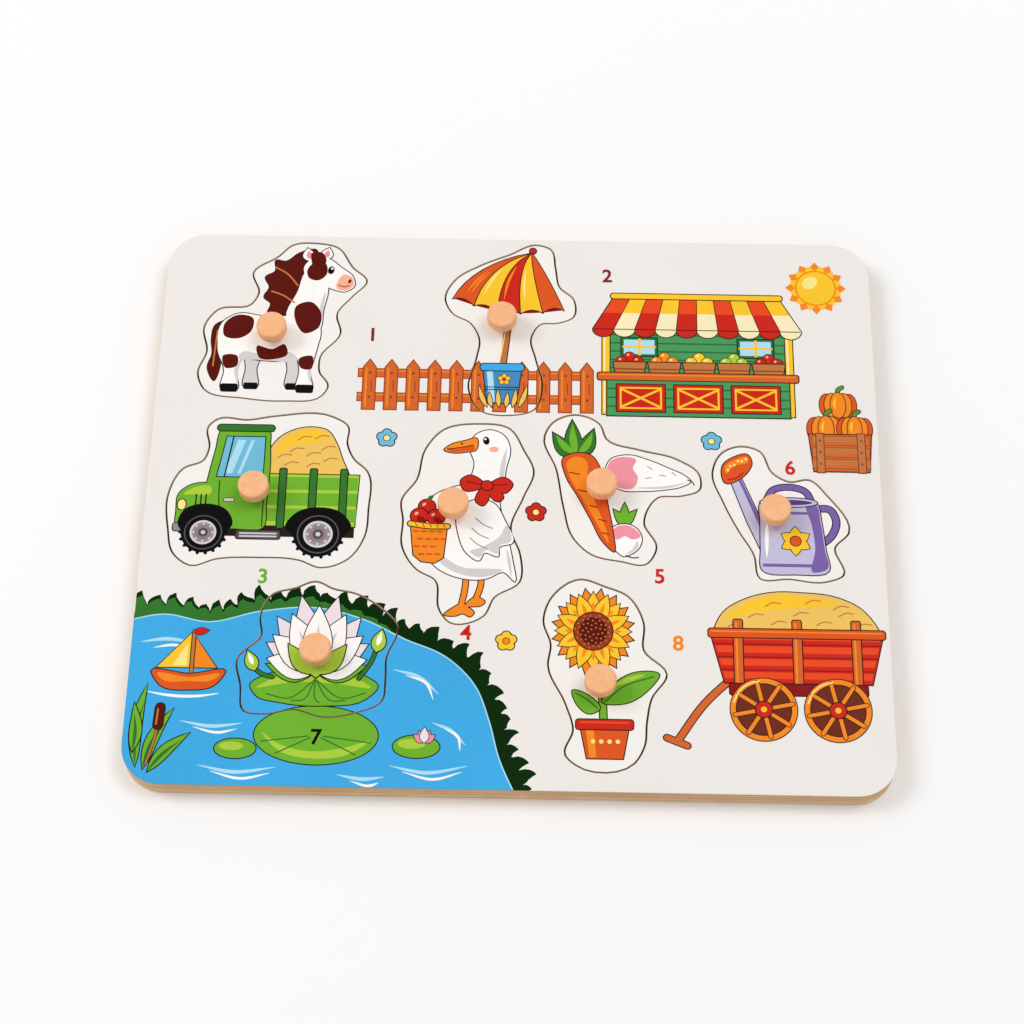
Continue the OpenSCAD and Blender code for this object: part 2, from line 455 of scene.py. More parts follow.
def place_outline(piece, shape, height):
    """Moves the circle just added to a patch's outline and notes its ink and level."""
    mesh = bmesh.from_edit_mesh(piece.data)
    tile = mesh.verts.layers.int["tile"]
    level = mesh.verts.layers.float["level"]
    corners = [corner for corner in mesh.verts if corner.select]
    for corner, (x, y) in zip(corners, shape.outline, strict=True):
        corner.co = (x * MM, y * MM, height)
        corner[tile] = INKS.index(shape.ink)
        corner[level] = shape.level
    bmesh.update_edit_mesh(piece.data)


def stencil_of(node):
    """Copy of a CAD sheet, merged and carried up through its top, to trim ink with."""
    make_active(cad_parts[node])
    bpy.ops.object.duplicate()
    stencil = bpy.context.object
    stencil.parent = None
    stencil.data.materials.clear()
    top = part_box(node)[1].z
    bpy.ops.object.mode_set(mode="EDIT")
    bpy.ops.mesh.select_all(action="SELECT")
    bpy.ops.mesh.remove_doubles(threshold=MERGE_REACH)
    bpy.ops.mesh.select_all(action="DESELECT")
    mesh = bmesh.from_edit_mesh(stencil.data)
    for corner in mesh.verts:
        corner.select_set(abs(corner.co.z - top) < TOP_SLACK)
    mesh.select_flush_mode()
    bmesh.update_edit_mesh(stencil.data)
    bpy.ops.transform.translate(value=(0, 0, MM))
    bpy.ops.object.mode_set(mode="OBJECT")
    return stencil


def note_ink(piece, ink):
    """Notes one ink for a whole object."""
    tile = piece.data.attributes.get("tile") or piece.data.attributes.new("tile", "INT", "POINT")
    tile.data.foreach_set("value", [INKS.index(ink)] * len(piece.data.vertices))


def trimmed_slab(name, group, surface, sizes, stencil):
    """Slabs of like patches, cut to a stencil. None where nothing is left."""
    slab = ink_slabs(name, group, surface, sizes)
    trim = slab.modifiers.new("trim", "BOOLEAN")
    trim.operation = "INTERSECT"
    trim.solver = "EXACT"
    trim.object = stencil
    bpy.ops.object.modifier_apply(modifier=trim.name)
    if not slab.data.polygons:
        bpy.data.objects.remove(slab)
        return None
    note_ink(slab, group[0].ink)
    return slab


def gathered(shapes):
    """Groups of patches that share an ink and a level and stay clear of each other."""
    groups = []
    for shape in shapes:
        for group in groups:
            alike = group[0].ink == shape.ink and group[0].level == shape.level
            if alike and not any(shape.meets(other.bounds) for other in group):
                group.append(shape)
                break
        else:
            groups.append([shape])
    return groups


def numeral_slab(text, x, y, ink, surface, sizes):
    """Closed slab in the shape of a numeral."""
    deselect()
    bpy.ops.object.text_add()
    piece = bpy.context.object
    letters = piece.data
    letters.body = text
    letters.size = sizes.numeral_size
    letters.align_x = "CENTER"
    letters.align_y = "CENTER"
    letters.resolution_u = NUMERAL_STEPS
    letters.offset = sizes.numeral_weight
    letters.extrude = (sizes.ink_root + NUMERAL_LEVEL * sizes.ink_step) / 2
    bpy.ops.object.convert(target="MESH")
    piece = bpy.context.object
    middle = surface + (NUMERAL_LEVEL * sizes.ink_step - sizes.ink_root) / 2
    bpy.ops.object.mode_set(mode="EDIT")
    bpy.ops.mesh.select_all(action="SELECT")
    bpy.ops.mesh.remove_doubles(threshold=MERGE_REACH)
    bpy.ops.mesh.normals_make_consistent(inside=False)
    bpy.ops.transform.translate(value=(x * MM, y * MM, middle))
    bpy.ops.object.mode_set(mode="OBJECT")
    note_ink(piece, ink)
    return piece


def colour_inks(piece, inks):
    """Gives each corner its ink's colour, and each ink a tile of its own on the bake's map."""
    mesh = piece.data
    tiles = [0] * len(mesh.vertices)
    mesh.attributes["tile"].data.foreach_get("value", tiles)
    palette = [(*getattr(inks, name), 1.0) for name in INKS]
    colour = mesh.color_attributes.new("ink", "FLOAT_COLOR", "POINT")
    colour.data.foreach_set("color", [channel for tile in tiles for channel in palette[tile]])
    low = Vector([min(corner.co[i] for corner in mesh.vertices) for i in range(3)])
    high = Vector([max(corner.co[i] for corner in mesh.vertices) for i in range(3)])
    spread = max(high.x - low.x, high.y - low.y) * TILE_ROOM
    slant = spread / max(high.z - low.z, TINY) * WALL_SHARE
    columns = math.ceil(math.sqrt(len(INKS)))
    layer = mesh.uv_layers.new(name="OFBake")
    for loop in mesh.loops:
        at = mesh.vertices[loop.vertex_index].co - low
        row, column = divmod(tiles[loop.vertex_index], columns)
        across = TILE_MARGIN + (at.x + slant * at.z) / spread
        along = TILE_MARGIN + (at.y + WALL_TURN * slant * at.z) / spread
        layer.data[loop.index].uv = ((column + across) / columns, (row + along) / columns)
    for spare in ("tile", "level"):
        if spare in mesh.attributes:
            mesh.attributes.remove(mesh.attributes[spare])


def finish_print(context, name, body, slabs):
    """Joins slabs of ink to one piece that rides on a body."""
    settings = context.scene.peg_puzzle
    if not slabs:
        raise RuntimeError(name + " has no ink left")
    make_active(slabs[0])
    for slab in slabs:
        slab.select_set(True)
    if len(slabs) > 1:
        bpy.ops.object.join()
    piece = bpy.context.object
    piece.name = name
    for spare in list(piece.data.uv_layers):
        piece.data.uv_layers.remove(spare)
    colour_inks(piece, settings.inks)
    piece.data.materials.clear()
    piece.data.materials.append(ink_material())
    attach(piece, body)


def lay_ink(context, name, body, node, whole, cut=()):
    """Makes patches of ink one piece on a CAD sheet. Those to cut are trimmed to the sheet's outline."""
    sizes = context.scene.peg_puzzle.print_sizes
    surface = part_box(node)[1].z
    slabs = [ink_slabs(name, whole, surface, sizes)] if whole else []
    if cut:
        stencil = stencil_of(node)
        trimmed = [trimmed_slab(name, group, surface, sizes, stencil) for group in gathered(cut)]
        slabs += [slab for slab in trimmed if slab]
        bpy.data.objects.remove(stencil)
    finish_print(context, name, body, slabs)


def lay_on_board(context, name, sheet):
    """Prints a sheet on the board, cut where it runs over a piece or past the board's edge."""
    low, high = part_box("frame_board")
    pieces = [box_of(figure) for figure in FIGURES]
    cut = []
    whole = []
    for shape in sheet.shapes:
        x0, y0, x1, y1 = shape.bounds
        past = min(x0 - low.x / MM, y0 - low.y / MM, high.x / MM - x1, high.y / MM - y1) < EDGE_ROOM
        over = any(shape.meets(bounds) for bounds in pieces)
        (cut if past or over else whole).append(shape)
    lay_ink(context, name, "board", "frame_board", whole, cut)


def axis_of(figure):
    """Axis of a figure's knob in millimetres."""
    low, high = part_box(figure + "_knob")
    return ((low.x + high.x) / 2 / MM, (low.y + high.y) / 2 / MM)


def box_of(figure, margin=EDGE_ROOM):
    """Box of a figure's piece in millimetres, with a margin round it."""
    low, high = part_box(figure + "_piece")
    return (low.x / MM - margin, low.y / MM - margin, high.x / MM + margin, high.y / MM + margin)


# Pictures on the pieces, in millimetres from each knob's axis
def draw_pony(ink):
    """Pinto pony that looks to the right, drawn from a place a little in front of its knob."""
    ink.origin = (ink.origin[0], ink.origin[1] - 2)
    far_legs = (blob((-11, -3), (-4, -4), (-6, -14), (-5.5, -23), (-10.5, -23), (-10.5, -14)),
                blob((6, -4), (12, -4), (11.5, -14), (12, -23), (7, -23), (7, -14)))
    tail = blob((-20, 9), (-24.5, 7), (-25.8, 0), (-25, -7), (-26.5, -14), (-23.5, -20), (-21.5, -13),
                (-22, -5), (-20, 3))
    mane = blob((16, 45), (9, 43.5), (3, 39), (-1, 39.5), (-1, 34), (-5, 31), (-3, 26), (-5, 21),
                (-2, 18), (-3, 13), (4, 12), (9, 18), (12, 30), (16, 40))
    barrel = blob((-22, 8), (-16, 12.5), (-4, 11.5), (6, 12), (14, 14), (19.5, 7), (18.5, -3), (10, -9),
                  (-4, -10), (-14, -8), (-22.5, -3))
    neck = blob((5, 11), (9, 24), (13, 35), (20, 35), (22, 26), (20.5, 15), (19, 5), (10, 4))
    head = blob((11, 36), (15, 41), (21, 41), (27, 36.5), (32.5, 31.5), (33.2, 27.5), (29.5, 24.5),
                (24, 25.5), (19, 28), (13.5, 30))
    hind_leg = blob((-21.5, 6), (-11, 1), (-12.5, -9), (-14.5, -15), (-13.5, -24), (-20, -24),
                    (-19.5, -15), (-23, -5))
    fore_leg = blob((10, 3), (18.5, 3), (18, -8), (16.5, -15), (17.5, -24), (11.5, -24), (12, -15),
                    (10.5, -6))
    ears = (leaf((13.2, 39.5), (12.2, 46), 5), leaf((20, 40.5), (21.5, 46.3), 5))
    ink.lined("pale_grey", *far_legs)
    ink.fill("black", *[box(x, -24, x + 6, -20.8, 0.8) for x in (-11, 6.5)])
    ink.lined("brown", tail, mane)
    ink.lined("paper", barrel, neck, head, hind_leg, fore_leg, *ears)
    ink.fill("pink", leaf((13.4, 40.5), (12.6, 44.8), 2.4), leaf((20.2, 41.3), (21.2, 45.2), 2.4))
    ink.fill("pale_grey", blob((-13, -6.5), (-3, -7.6), (9, -6.5), (11, -9), (-4, -9.8), (-14, -8.2)),
             stroke(1.6, (-12.6, -9), (-14.4, -15), (-13.6, -21), tip=0.3),
             stroke(1.6, (17.8, -8), (16.2, -15), (17.2, -21), tip=0.3),
             stroke(1.8, (21, 24), (19.6, 15), (19, 6), tip=0.2))
    ink.fill("brown", blob((-21, 7.5), (-15.5, 12), (-9, 10.5), (-9.5, 4), (-14.5, 0.5), (-20.5, 1.5)),
             blob((-6.5, -3), (0, -4.5), (5, -2), (6.5, -7), (1, -9.4), (-5, -9)),
             blob((9, 17), (15, 19), (19.5, 14), (18.6, 6), (13, 3.5), (9.5, 8)),
             blob((12.5, 34.5), (16, 39), (20, 38.6), (21, 33), (17.5, 29.8), (13.5, 31)),
             blob((11.5, -9), (17, -7.5), (16.6, -14), (12.6, -13.5)),
             blob((-20.5, -8), (-14.5, -8), (-14.5, -13), (-19, -14)))
    ink.fill("brown", blob((14, 43.5), (18.5, 43.8), (20.5, 40), (19, 36), (16.5, 39), (15, 37),
                           (14, 40)))
    ink.fill("peach", blob((28.5, 33), (31.8, 31.6), (32.8, 28), (29.6, 25), (25.5, 26), (26, 30)))
    ink.fill("dark_red", disc(31, 29.6, 0.7, 1.1, -20),
             stroke(0.45, (26.4, 27.6), (28.6, 26.8), (31, 27.4)))
    ink.fill("black", disc(22.8, 35, 1.4, 2, -12))
    ink.fill("paper", disc(23.2, 35.8, 0.55, sides=12))
    ink.fill("black", *[box(x, -25.4, x + 7.4, -21.4, 1) for x in (-20.6, 10.9)])
    ink.fill("tan", stroke(0.7, (-1, 36), (4, 33), (9, 27)), stroke(0.7, (-2, 24), (3, 22), (8, 18.5)),
             stroke(0.7, (-23.6, 4), (-24, -4), (-24.4, -13)))


def canopy_point(across, down):
    """Place on the parasol's canopy, across it from 0 to 1 and from its top down to its hem."""
    top = (12.0, 36.5)
    bulge = (-13 + 31 * across, 30 - 3 * across)
    hem = (-21 + 47 * across, 13 - 5 * across - 4 * math.sin(math.pi * across))
    return tuple((1 - down)**2 * top[i] + 2 * down * (1 - down) * bulge[i] + down**2 * hem[i]
                 for i in (0, 1))


def canopy_panel(first, last, scallop=1.7, steps=8):
    """One panel of the canopy, with a scalloped hem."""
    left = [canopy_point(first, k / steps) for k in range(steps + 1)]
    right = [canopy_point(last, k / steps) for k in range(steps, 0, -1)]
    hem = []
    for k in range(1, steps):
        x, y = canopy_point(first + (last - first) * k / steps, 1)
        hem.append((x, y + scallop * math.sin(math.pi * k / steps)))
    return left + hem + right


def canopy_rib(across, width, tip, *downs):
    """Line down the canopy."""
    return stroke(width, *[canopy_point(across, down) for down in downs], tip=tip)


def draw_parasol(ink):
    """Striped garden parasol in a blue tub."""
    ink.fill("dark_red", [canopy_point(k / 16, 1) for k in range(17)] + [canopy_point(0.5, 0.7)])
    ink.lined("tan", stroke(2.2, (3.4, 8), (-0.6, -34)))
    ink.fill("pale_yellow", stroke(0.5, (2.9, 7), (-1, -20)))
    seams = (0, 0.19, 0.4, 0.61, 0.81, 1)
    panels = [canopy_panel(seams[k], seams[k + 1]) for k in range(5)]
    ink.edge(*panels)
    for colour, panel in zip(("deep_orange", "yellow", "red", "yellow", "deep_orange"), panels):
        ink.fill(colour, panel)
    ink.fill("orange", *[canopy_rib(across, 0.8, 0.2, 0.5, 0.7, 0.86) for across in (0.08, 0.12)])
    ink.fill("orange", canopy_rib(0.45, 1.1, 0.2, 0.35, 0.6, 0.85))
    ink.fill("pale_yellow", *[canopy_rib(across, 1, 0.2, 0.4, 0.6, 0.85) for across in (0.24, 0.66)])
    ink.fill("key", *[canopy_rib(across, 0.4, 1, 0, 0.25, 0.5, 0.75, 1) for across in seams[1:-1]])
    ink.lined("red", disc(12.6, 37.4, 1.3))
    ink.lined("denim", poly((-7.5, -21), (8.5, -21), (6.6, -37.6), (-5.4, -37.6)))
    ink.fill("pale_blue", poly((-6, -22.5), (-3.4, -22.5), (-2.2, -37), (-4.6, -37)))
    ink.lined("blue", box(-8.6, -22, 9.6, -18.8, 1.4))
    ink.fill("key", stroke(0.45, (-6.4, -30), (7.4, -30)), stroke(0.45, (-6.2, -31.2), (7.2, -31.2)))
    ink.lined("yellow", *[ray_leaf(1.4, -26.2, a, 0.6, 2.9, 1.9) for a in around(5, 90)], line=0.25)
    ink.fill("red", disc(1.4, -26.2, 0.9))
    blades = ((-5.6, -3.4, 9.9, 0.5), (-3.6, -1, 6.9, 0.3), (-0.6, -0.6, 8.3, 0), (2.4, 0.6, 6.9, 0),
              (5, 1.4, 8.5, -0.3), (7.6, 3.4, 10.3, -0.5))
    ink.lined("straw", *[leaf((x, -39.4), (x + lean, -39.4 + tall), 1.9, bend)
                         for x, lean, tall, bend in blades], line=0.35)


def draw_tyre(ink, x, y, r):
    """Wheel with a treaded tyre, a grey rim and its bolts."""
    treads = [disc(*spoke(x, y, a, r), 1.1, 0.8, math.degrees(a), 8) for a in around(18)]
    bolts = [disc(*spoke(x, y, a, 0.43 * r), 0.055 * r, sides=8) for a in around(8)]
    ink.fill("black", disc(x, y, r, sides=40), *treads)
    ink.fill("dark_grey", disc(x, y, r * 0.86, sides=36))
    ink.fill("black", disc(x, y, r * 0.8, sides=36))
    ink.fill("pale_grey", disc(x, y, r * 0.6, sides=32))
    ink.fill("grey", disc(x, y, r * 0.5, sides=32))
    ink.fill("mauve", disc(x, y, r * 0.36, sides=28))
    ink.fill("pale_grey", *bolts)
    ink.fill("dark_grey", disc(x, y, r * 0.22))
    ink.fill("pale_grey", disc(x, y, r * 0.1, sides=12))


def draw_lorry(ink):
    """Green farm lorry with a load of hay."""
    hay = blob((5, 8), (4, 18), (8, 26), (14, 30), (22, 31.5), (28, 30), (32, 24), (34.6, 17), (38, 8))
    wisps = ((8, 17), (13, 20), (20, 18), (26, 21), (16, 25.5), (23, 26), (27, 15.5), (11, 13.5),
             (20, 13))
    cab = blob((-15.5, 30), (-4, 31), (3.4, 30.4), (4.6, 22), (4.6, -4), (4, -15), (-8, -15.6),
               (-19, -15), (-21, -4), (-19.6, 8), (-17.6, 20))
    hood = blob((-18, 4.5), (-26, 4), (-31, 0), (-31.6, -8), (-31, -15), (-24, -15.6), (-16, -15))
    arches = (
        blob((-30.6, -14), (-28.4, -7.5), (-20, -4.6), (-11, -7.5), (-8.4, -14), (-12, -18), (-28, -18)),
        blob((13, -14.5), (17.4, -7.8), (26.5, -5.4), (35.6, -7.8), (39.8, -14.5), (34, -19), (18, -19)))
    ink.fill("key", box(-29, -19, 41, -14))
    ink.lined("straw", hay)
    ink.fill("yellow", blob((7, 18), (10, 25), (16, 29), (24, 30), (28, 27), (24, 25), (14, 23)))
    ink.fill("tan", *[stroke(0.5, (x, y), (x + 2.6, y + 1.6), (x + 5.6, y + 1.4)) for x, y in wisps])
    ink.lined("lime", poly((4, -14), (41, -14), (42, 9.4), (4, 9.4)))
    ink.fill("green", *[poly((5, y), (41.4, y), (41.6, y + 5.8), (5, y + 5.8)) for y in (-12, -4.8, 2.4)])
    ink.lined("deep_green", *[box(x, -15, x + 2.6, 12, 0.6) for x in (9.5, 22, 34.5)])
    ink.lined("green", hood, cab)
    ink.fill("lime", blob((-18, 2.8), (-26, 2.2), (-29.2, -0.6), (-26, -0.6), (-18, 0.4)))
    ink.lined("deep_green", box(-17.5, 29.2, 6, 32, 1.3))
    ink.lined("sky", poly((-16.2, 8), (-13.2, 26.4), (2.4, 26.4), (2.4, 8)))
    ink.fill("pale_blue", poly((-13.4, 9.4), (-8.6, 25), (-5.4, 25), (-10.2, 9.4)),
             poly((-8, 9.4), (-3.2, 25), (-1.8, 25), (-6.6, 9.4)))
    ink.fill("key", stroke(0.6, (-13.2, 8), (-10.6, 26.4)), stroke(0.45, (3.4, 6.4), (3.4, -14.4)),
             stroke(0.45, (-15, 6), (-14.6, -4), (-12.4, -14.6)))
    ink.lined("pale_grey", box(-12.6, -3.4, -8.6, -2, 0.5), line=0.3)
    ink.fill("key", *[stroke(0.6, (x, -5.5), (x, -0.5)) for x in (-24, -22, -20)])
    ink.lined("pale_yellow", disc(-29.6, -5.2, 1.6, 2.3))
    ink.lined("grey", box(-32.4, -17, -26, -13.6, 1))
    ink.fill("black", *arches)
    ink.lined("dark_grey", box(-6.6, -20, 11, -16.4, 0.8))
    ink.fill("pale_grey", *[box(-5.4, y, 9.8, y + 0.7) for y in (-18, -19.3)])
    draw_tyre(ink, -20, -17.6, 9)
    draw_tyre(ink, 26.5, -17.6, 10)


def draw_goose(ink):
    """White goose with a red bow, beside a basket of apples."""
    legs = (stroke(2, (6, -28), (5.5, -35), (4, -43)), stroke(2, (12, -28), (11.8, -33), (9.8, -39.6)))
    feet = (
        blob((5, -41), (1, -43), (-2.4, -46), (2, -46.4), (5, -45.4), (8, -46.6), (9.4, -45), (7, -42.6)),
        blob((10.6, -38), (7.6, -39.6), (6, -42), (9, -42.2), (12.4, -41.6), (13.6, -40.2), (12.2, -38.8)))
    body = blob((-9, 6), (-13.5, -4), (-12.5, -16), (-6, -25.5), (4, -30), (14, -30), (21, -27),
                (25.4, -31), (24.4, -22), (22.5, -13), (19.6, -2), (17, 8), (10, 12), (0, 11))
    neck = blob((3, 8), (6.5, 15), (8, 22), (6, 29), (8, 35), (14, 37.6), (20, 35), (22.5, 29), (21, 20),
                (20, 12), (18.5, 4), (10, 2))
    wing = blob((2, 0), (8, 5), (16, 4), (21, -4), (24.2, -14), (19, -16), (18.6, -20), (13, -18.6),
                (11, -22), (6, -19), (2.4, -11))
    wing_shade = blob((21.6, -6), (23.4, -13.6), (19.4, -15), (18.6, -18.8), (13.4, -17.4), (11.2, -20.6),
                      (7, -18), (12, -16), (16, -13.6), (19, -11))
    beak = blob((8.6, 33.6), (4, 32.4), (-2.6, 30), (-4.6, 28), (-1, 26.8), (4, 27.2), (8.4, 28.2))
    ink.lined("orange", *legs, *feet)
    ink.lined("paper", body, neck)
    ink.fill("pale_grey", stroke(2, (21, 29), (19.6, 20), (18.8, 11), tip=0.15),
             stroke(1.3, (24, -29), (23, -22), (22, -17), tip=0.2),
             blob((-10, -15), (-4, -24), (5, -28.6), (15, -28.8), (20.5, -26), (14, -25.6), (4, -25),
                  (-4, -20)))
    ink.lined("paper", wing)
    ink.fill("pale_grey", wing_shade)
    ink.fill("grey", *[stroke(0.45, (x, y), (x + 3.4, y - 3), (x + 7, y - 4.6))
                       for x, y in ((9, -3), (7.6, -7.6), (7, -12))])
    ink.lined("orange", beak)
    ink.fill("deep_orange", blob((-3.6, 28), (2, 28.8), (7.6, 30), (8, 28.6), (3, 27.4), (-1, 27)))
    ink.fill("key", stroke(0.4, (-3.4, 28.4), (2, 29.2), (7.4, 30.4)), disc(2.6, 31, 0.55, 0.4, 20, 10))
    ink.fill("black", disc(12.6, 32.6, 1.35, 1.9, 10))
    ink.fill("paper", disc(12.2, 33.3, 0.5, sides=12))
    ink.fill("peach", disc(15.8, 28.6, 2, 1.3))
    ink.lined("red", blob((12.6, 12), (6, 16.4), (2.6, 14), (4, 9.6)),
              blob((14.4, 12), (20.4, 15.6), (23.8, 12.6), (21, 8.6)),
              blob((12.6, 11), (9, 4.4), (11.6, 2.6), (14.2, 9)),
              blob((14, 11), (18, 4.6), (20, 6), (16, 11)))
    ink.fill("dark_red", stroke(0.5, (5, 13.6), (11, 12.2)), stroke(0.5, (21.6, 12.6), (16, 12)))
    ink.lined("red", disc(13.4, 11.8, 2.3, 2.1))
    draw_basket(ink)


def draw_basket(ink):
    """Wicker basket with three apples."""
    apples = ((-10.8, 1.6), (-13.8, -2.6), (-7, -3))
    ink.lined("red", disc(*apples[0], 3.4))
    ink.lined("red", *[disc(x, y, 3.5) for x, y in apples[1:]])
    ink.fill("dark_red", *[disc(x + 0.9, y - 1.6, 2.1, 1.3, -30) for x, y in apples[1:]])
    ink.fill("peach", *[disc(x - 1.2, y + 1.2, 0.9, 0.6, 40, 10) for x, y in apples])
    ink.fill("deep_green", leaf((-10.8, 4.6), (-8, 7.2), 1.8))
    ink.lined("orange", poly((-17.2, -5.6), (-2.4, -6.6), (-3.6, -21), (-7, -23.4), (-12.4, -22.8),
                             (-15.6, -20)))
    for row in range(4):
        first = -15.8 + 0.3 * row + 1.6 * (row % 2)
        level = -9.4 - 3.4 * row
        weave = [first + 3.2 * k for k in range(4 - row // 2)]
        ink.fill("deep_orange", *[stroke(0.9, (x, level), (x + 1.7, level)) for x in weave])
    ink.lined("yellow", stroke(2, (-17.4, -6), (-10, -7), (-2.2, -7)))
    ink.fill("deep_orange", *[stroke(0.5, (x, -5.5), (x + 1, -7.5))
                              for x in (-15.4, -12.6, -9.8, -7, -4.2)])


def draw_carrot(ink):
    """Carrot, long radish and turnip."""
    radish = blob((4, 15), (11, 17), (20, 14.6), (28, 11), (34, 8), (36.6, 5.4), (33, 3), (26, 1.4),
                  (17, 0.6), (8, 1), (2, 6))
    turnip = blob((3, -20), (5, -16), (9.6, -14.6), (14, -16.2), (16.4, -20.4), (15.4, -25), (12, -28),
                  (9.4, -29), (6, -26.6), (3.4, -23.6))
    root = blob((-15.6, 15), (-10, 17.6), (-4, 16.4), (-0.6, 11), (1, 2), (3, -8), (4.8, -19), (5.2, -27),
                (1, -23), (-4, -13), (-9.6, -2), (-14.4, 7))
    flecks = ((19, 12, 2, -1.4), (24, 8, 2.6, -0.4), (18, 6.4, 2.6, 0.4), (29, 9.4, 1.6, -1.4))
    rings = ((-13, 8.6, 4), (-3.6, 9.6, 3), (-9.4, 0.6, 3.6), (-4.6, -6.4, 3), (-1, -12.6, 3),
             (0.6, -18.6, 2.4))
    ink.lined("deep_green", leaf((-10, 15), (-20, 27), 6.4, 1), leaf((-10, 15), (-12, 33), 6.8, 0.6),
              leaf((-10, 15), (-3, 29), 6.4, -1))
    ink.fill("green", leaf((-10.4, 17), (-18.6, 26), 3, 1), leaf((-10.2, 17), (-11.8, 31.4), 3.2, 0.6),
             leaf((-9.6, 17), (-3.6, 27.6), 3, -1))
    ink.lined("paper", radish)
    ink.fill("pink", blob((4, 14.4), (10.6, 16.2), (14.4, 15), (13, 11), (15, 7), (13, 1.8), (8, 1.6),
                          (2.6, 6)))
    ink.fill("pale_grey", blob((14, 2), (24, 2.8), (32, 4.2), (35, 5), (31, 3), (22, 1.6)))
    ink.fill("grey", *[stroke(0.4, (x, y), (x + dx, y + dy)) for x, y, dx, dy in flecks])
    ink.fill("key", stroke(0.5, (35.4, 6), (37.4, 5), (38, 3.6)))
    ink.lined("green", leaf((9.8, -15.6), (14.4, -8), 3.4, 0.6), leaf((9.4, -15.6), (9.6, -5), 3.8),
              leaf((9, -15.6), (5, -8), 3.4, -0.6))
    ink.lined("paper", turnip)
    ink.fill("pink", blob((3.4, -20), (5.4, -16.4), (9.6, -15), (13.6, -16.6), (16, -20), (12.6, -21.4),
                          (9.6, -20), (6.6, -21.6)))
    ink.fill("pale_grey", blob((14.8, -22), (15, -25), (12, -27.6), (10, -28.2), (12.6, -25.6)))
    ink.fill("key", stroke(0.5, (10, -28.6), (12.6, -29.6), (15, -29.4)))
    ink.lined("deep_orange", root)
    ink.fill("orange", blob((-14, 13.4), (-10, 16), (-6.6, 14.6), (-5.4, 6), (-2, -6), (2.2, -18),
                            (3, -23), (-2.6, -12.6), (-8.4, -2), (-13, 7)))
    ink.fill("dark_red", *[stroke(0.5, (x, y), (x + width, y - 0.8)) for x, y, width in rings])


def draw_can(ink):
    """Watering can with a painted flower."""
    body = blob((-5, 7), (6.4, 8), (17.6, 7), (19.4, -2), (20.6, -14), (21.6, -23.4), (8, -25.2),
                (-5.4, -23.4), (-5.6, -14), (-5.4, -2))
    rose = blob((-19.4, 15.6), (-11.6, 18.8), (-8.2, 25.6), (-9.8, 28.6), (-15.4, 27.4), (-20, 23.6),
                (-20.6, 19.6))
    holes = ((-18, 21.4), (-15.4, 23.8), (-12.2, 25.6), (-17, 23.2), (-13.8, 25.6), (-10.6, 26.6))
    ink.lined("purple", stroke(2.6, (17.6, 4.4), (23, 4), (25.4, -1), (23.4, -7.6), (18.6, -12)),
              stroke(2.4, (-3, 7), (0, 12.4), (7, 14), (13.6, 11.8), (16, 6.6)))
    ink.lined("lilac", poly((-3, -14), (-4, -4), (-13, 18.6), (-17.2, 17), (-10.8, -2), (-5, -16)))
    ink.fill("purple", poly((-4.6, -14), (-5.4, -5), (-14.2, 17.8), (-13, 17.8), (-4, -4), (-3, -14)))
    ink.lined("lilac", body)
    ink.fill("purple", box(-5, -22, 21, -20.6), box(-4.8, 1.6, 18.4, 2.8),
             blob((14, 6.6), (17, 6.4), (19, -2), (20.2, -14), (21, -22.6), (15, -24.2), (16.4, -14),
                  (15.4, -3)))
    ink.fill("paper", stroke(1.6, (-2.8, -2.4), (-3, -9), (-3.2, -17.4), tip=0.3))
    ink.lined("lilac", disc(6.4, 7, 11.6, 2, sides=32))
    ink.fill("dark_purple", disc(6.4, 7, 9.6, 1.2, sides=32))
    ink.lined("yellow", *[ray_leaf(8.6, -10.4, a, 1.2, 6.4, 4) for a in around(6, 90)], line=0.35)
    ink.lined("deep_orange", disc(8.6, -10.4, 2.1), line=0.35)
    ink.lined("deep_orange", rose)
    ink.fill("orange", blob((-19, 19.8), (-15.6, 23.2), (-9.4, 25.8), (-9.8, 27.4), (-15, 26.2),
                            (-19.4, 22.6)))
    ink.fill("pale_yellow", *[disc(x, y, 0.6, sides=8) for x, y in holes])
    ink.fill("red", stroke(1, (-18, 17), (-14.6, 17.8), (-12, 20)))


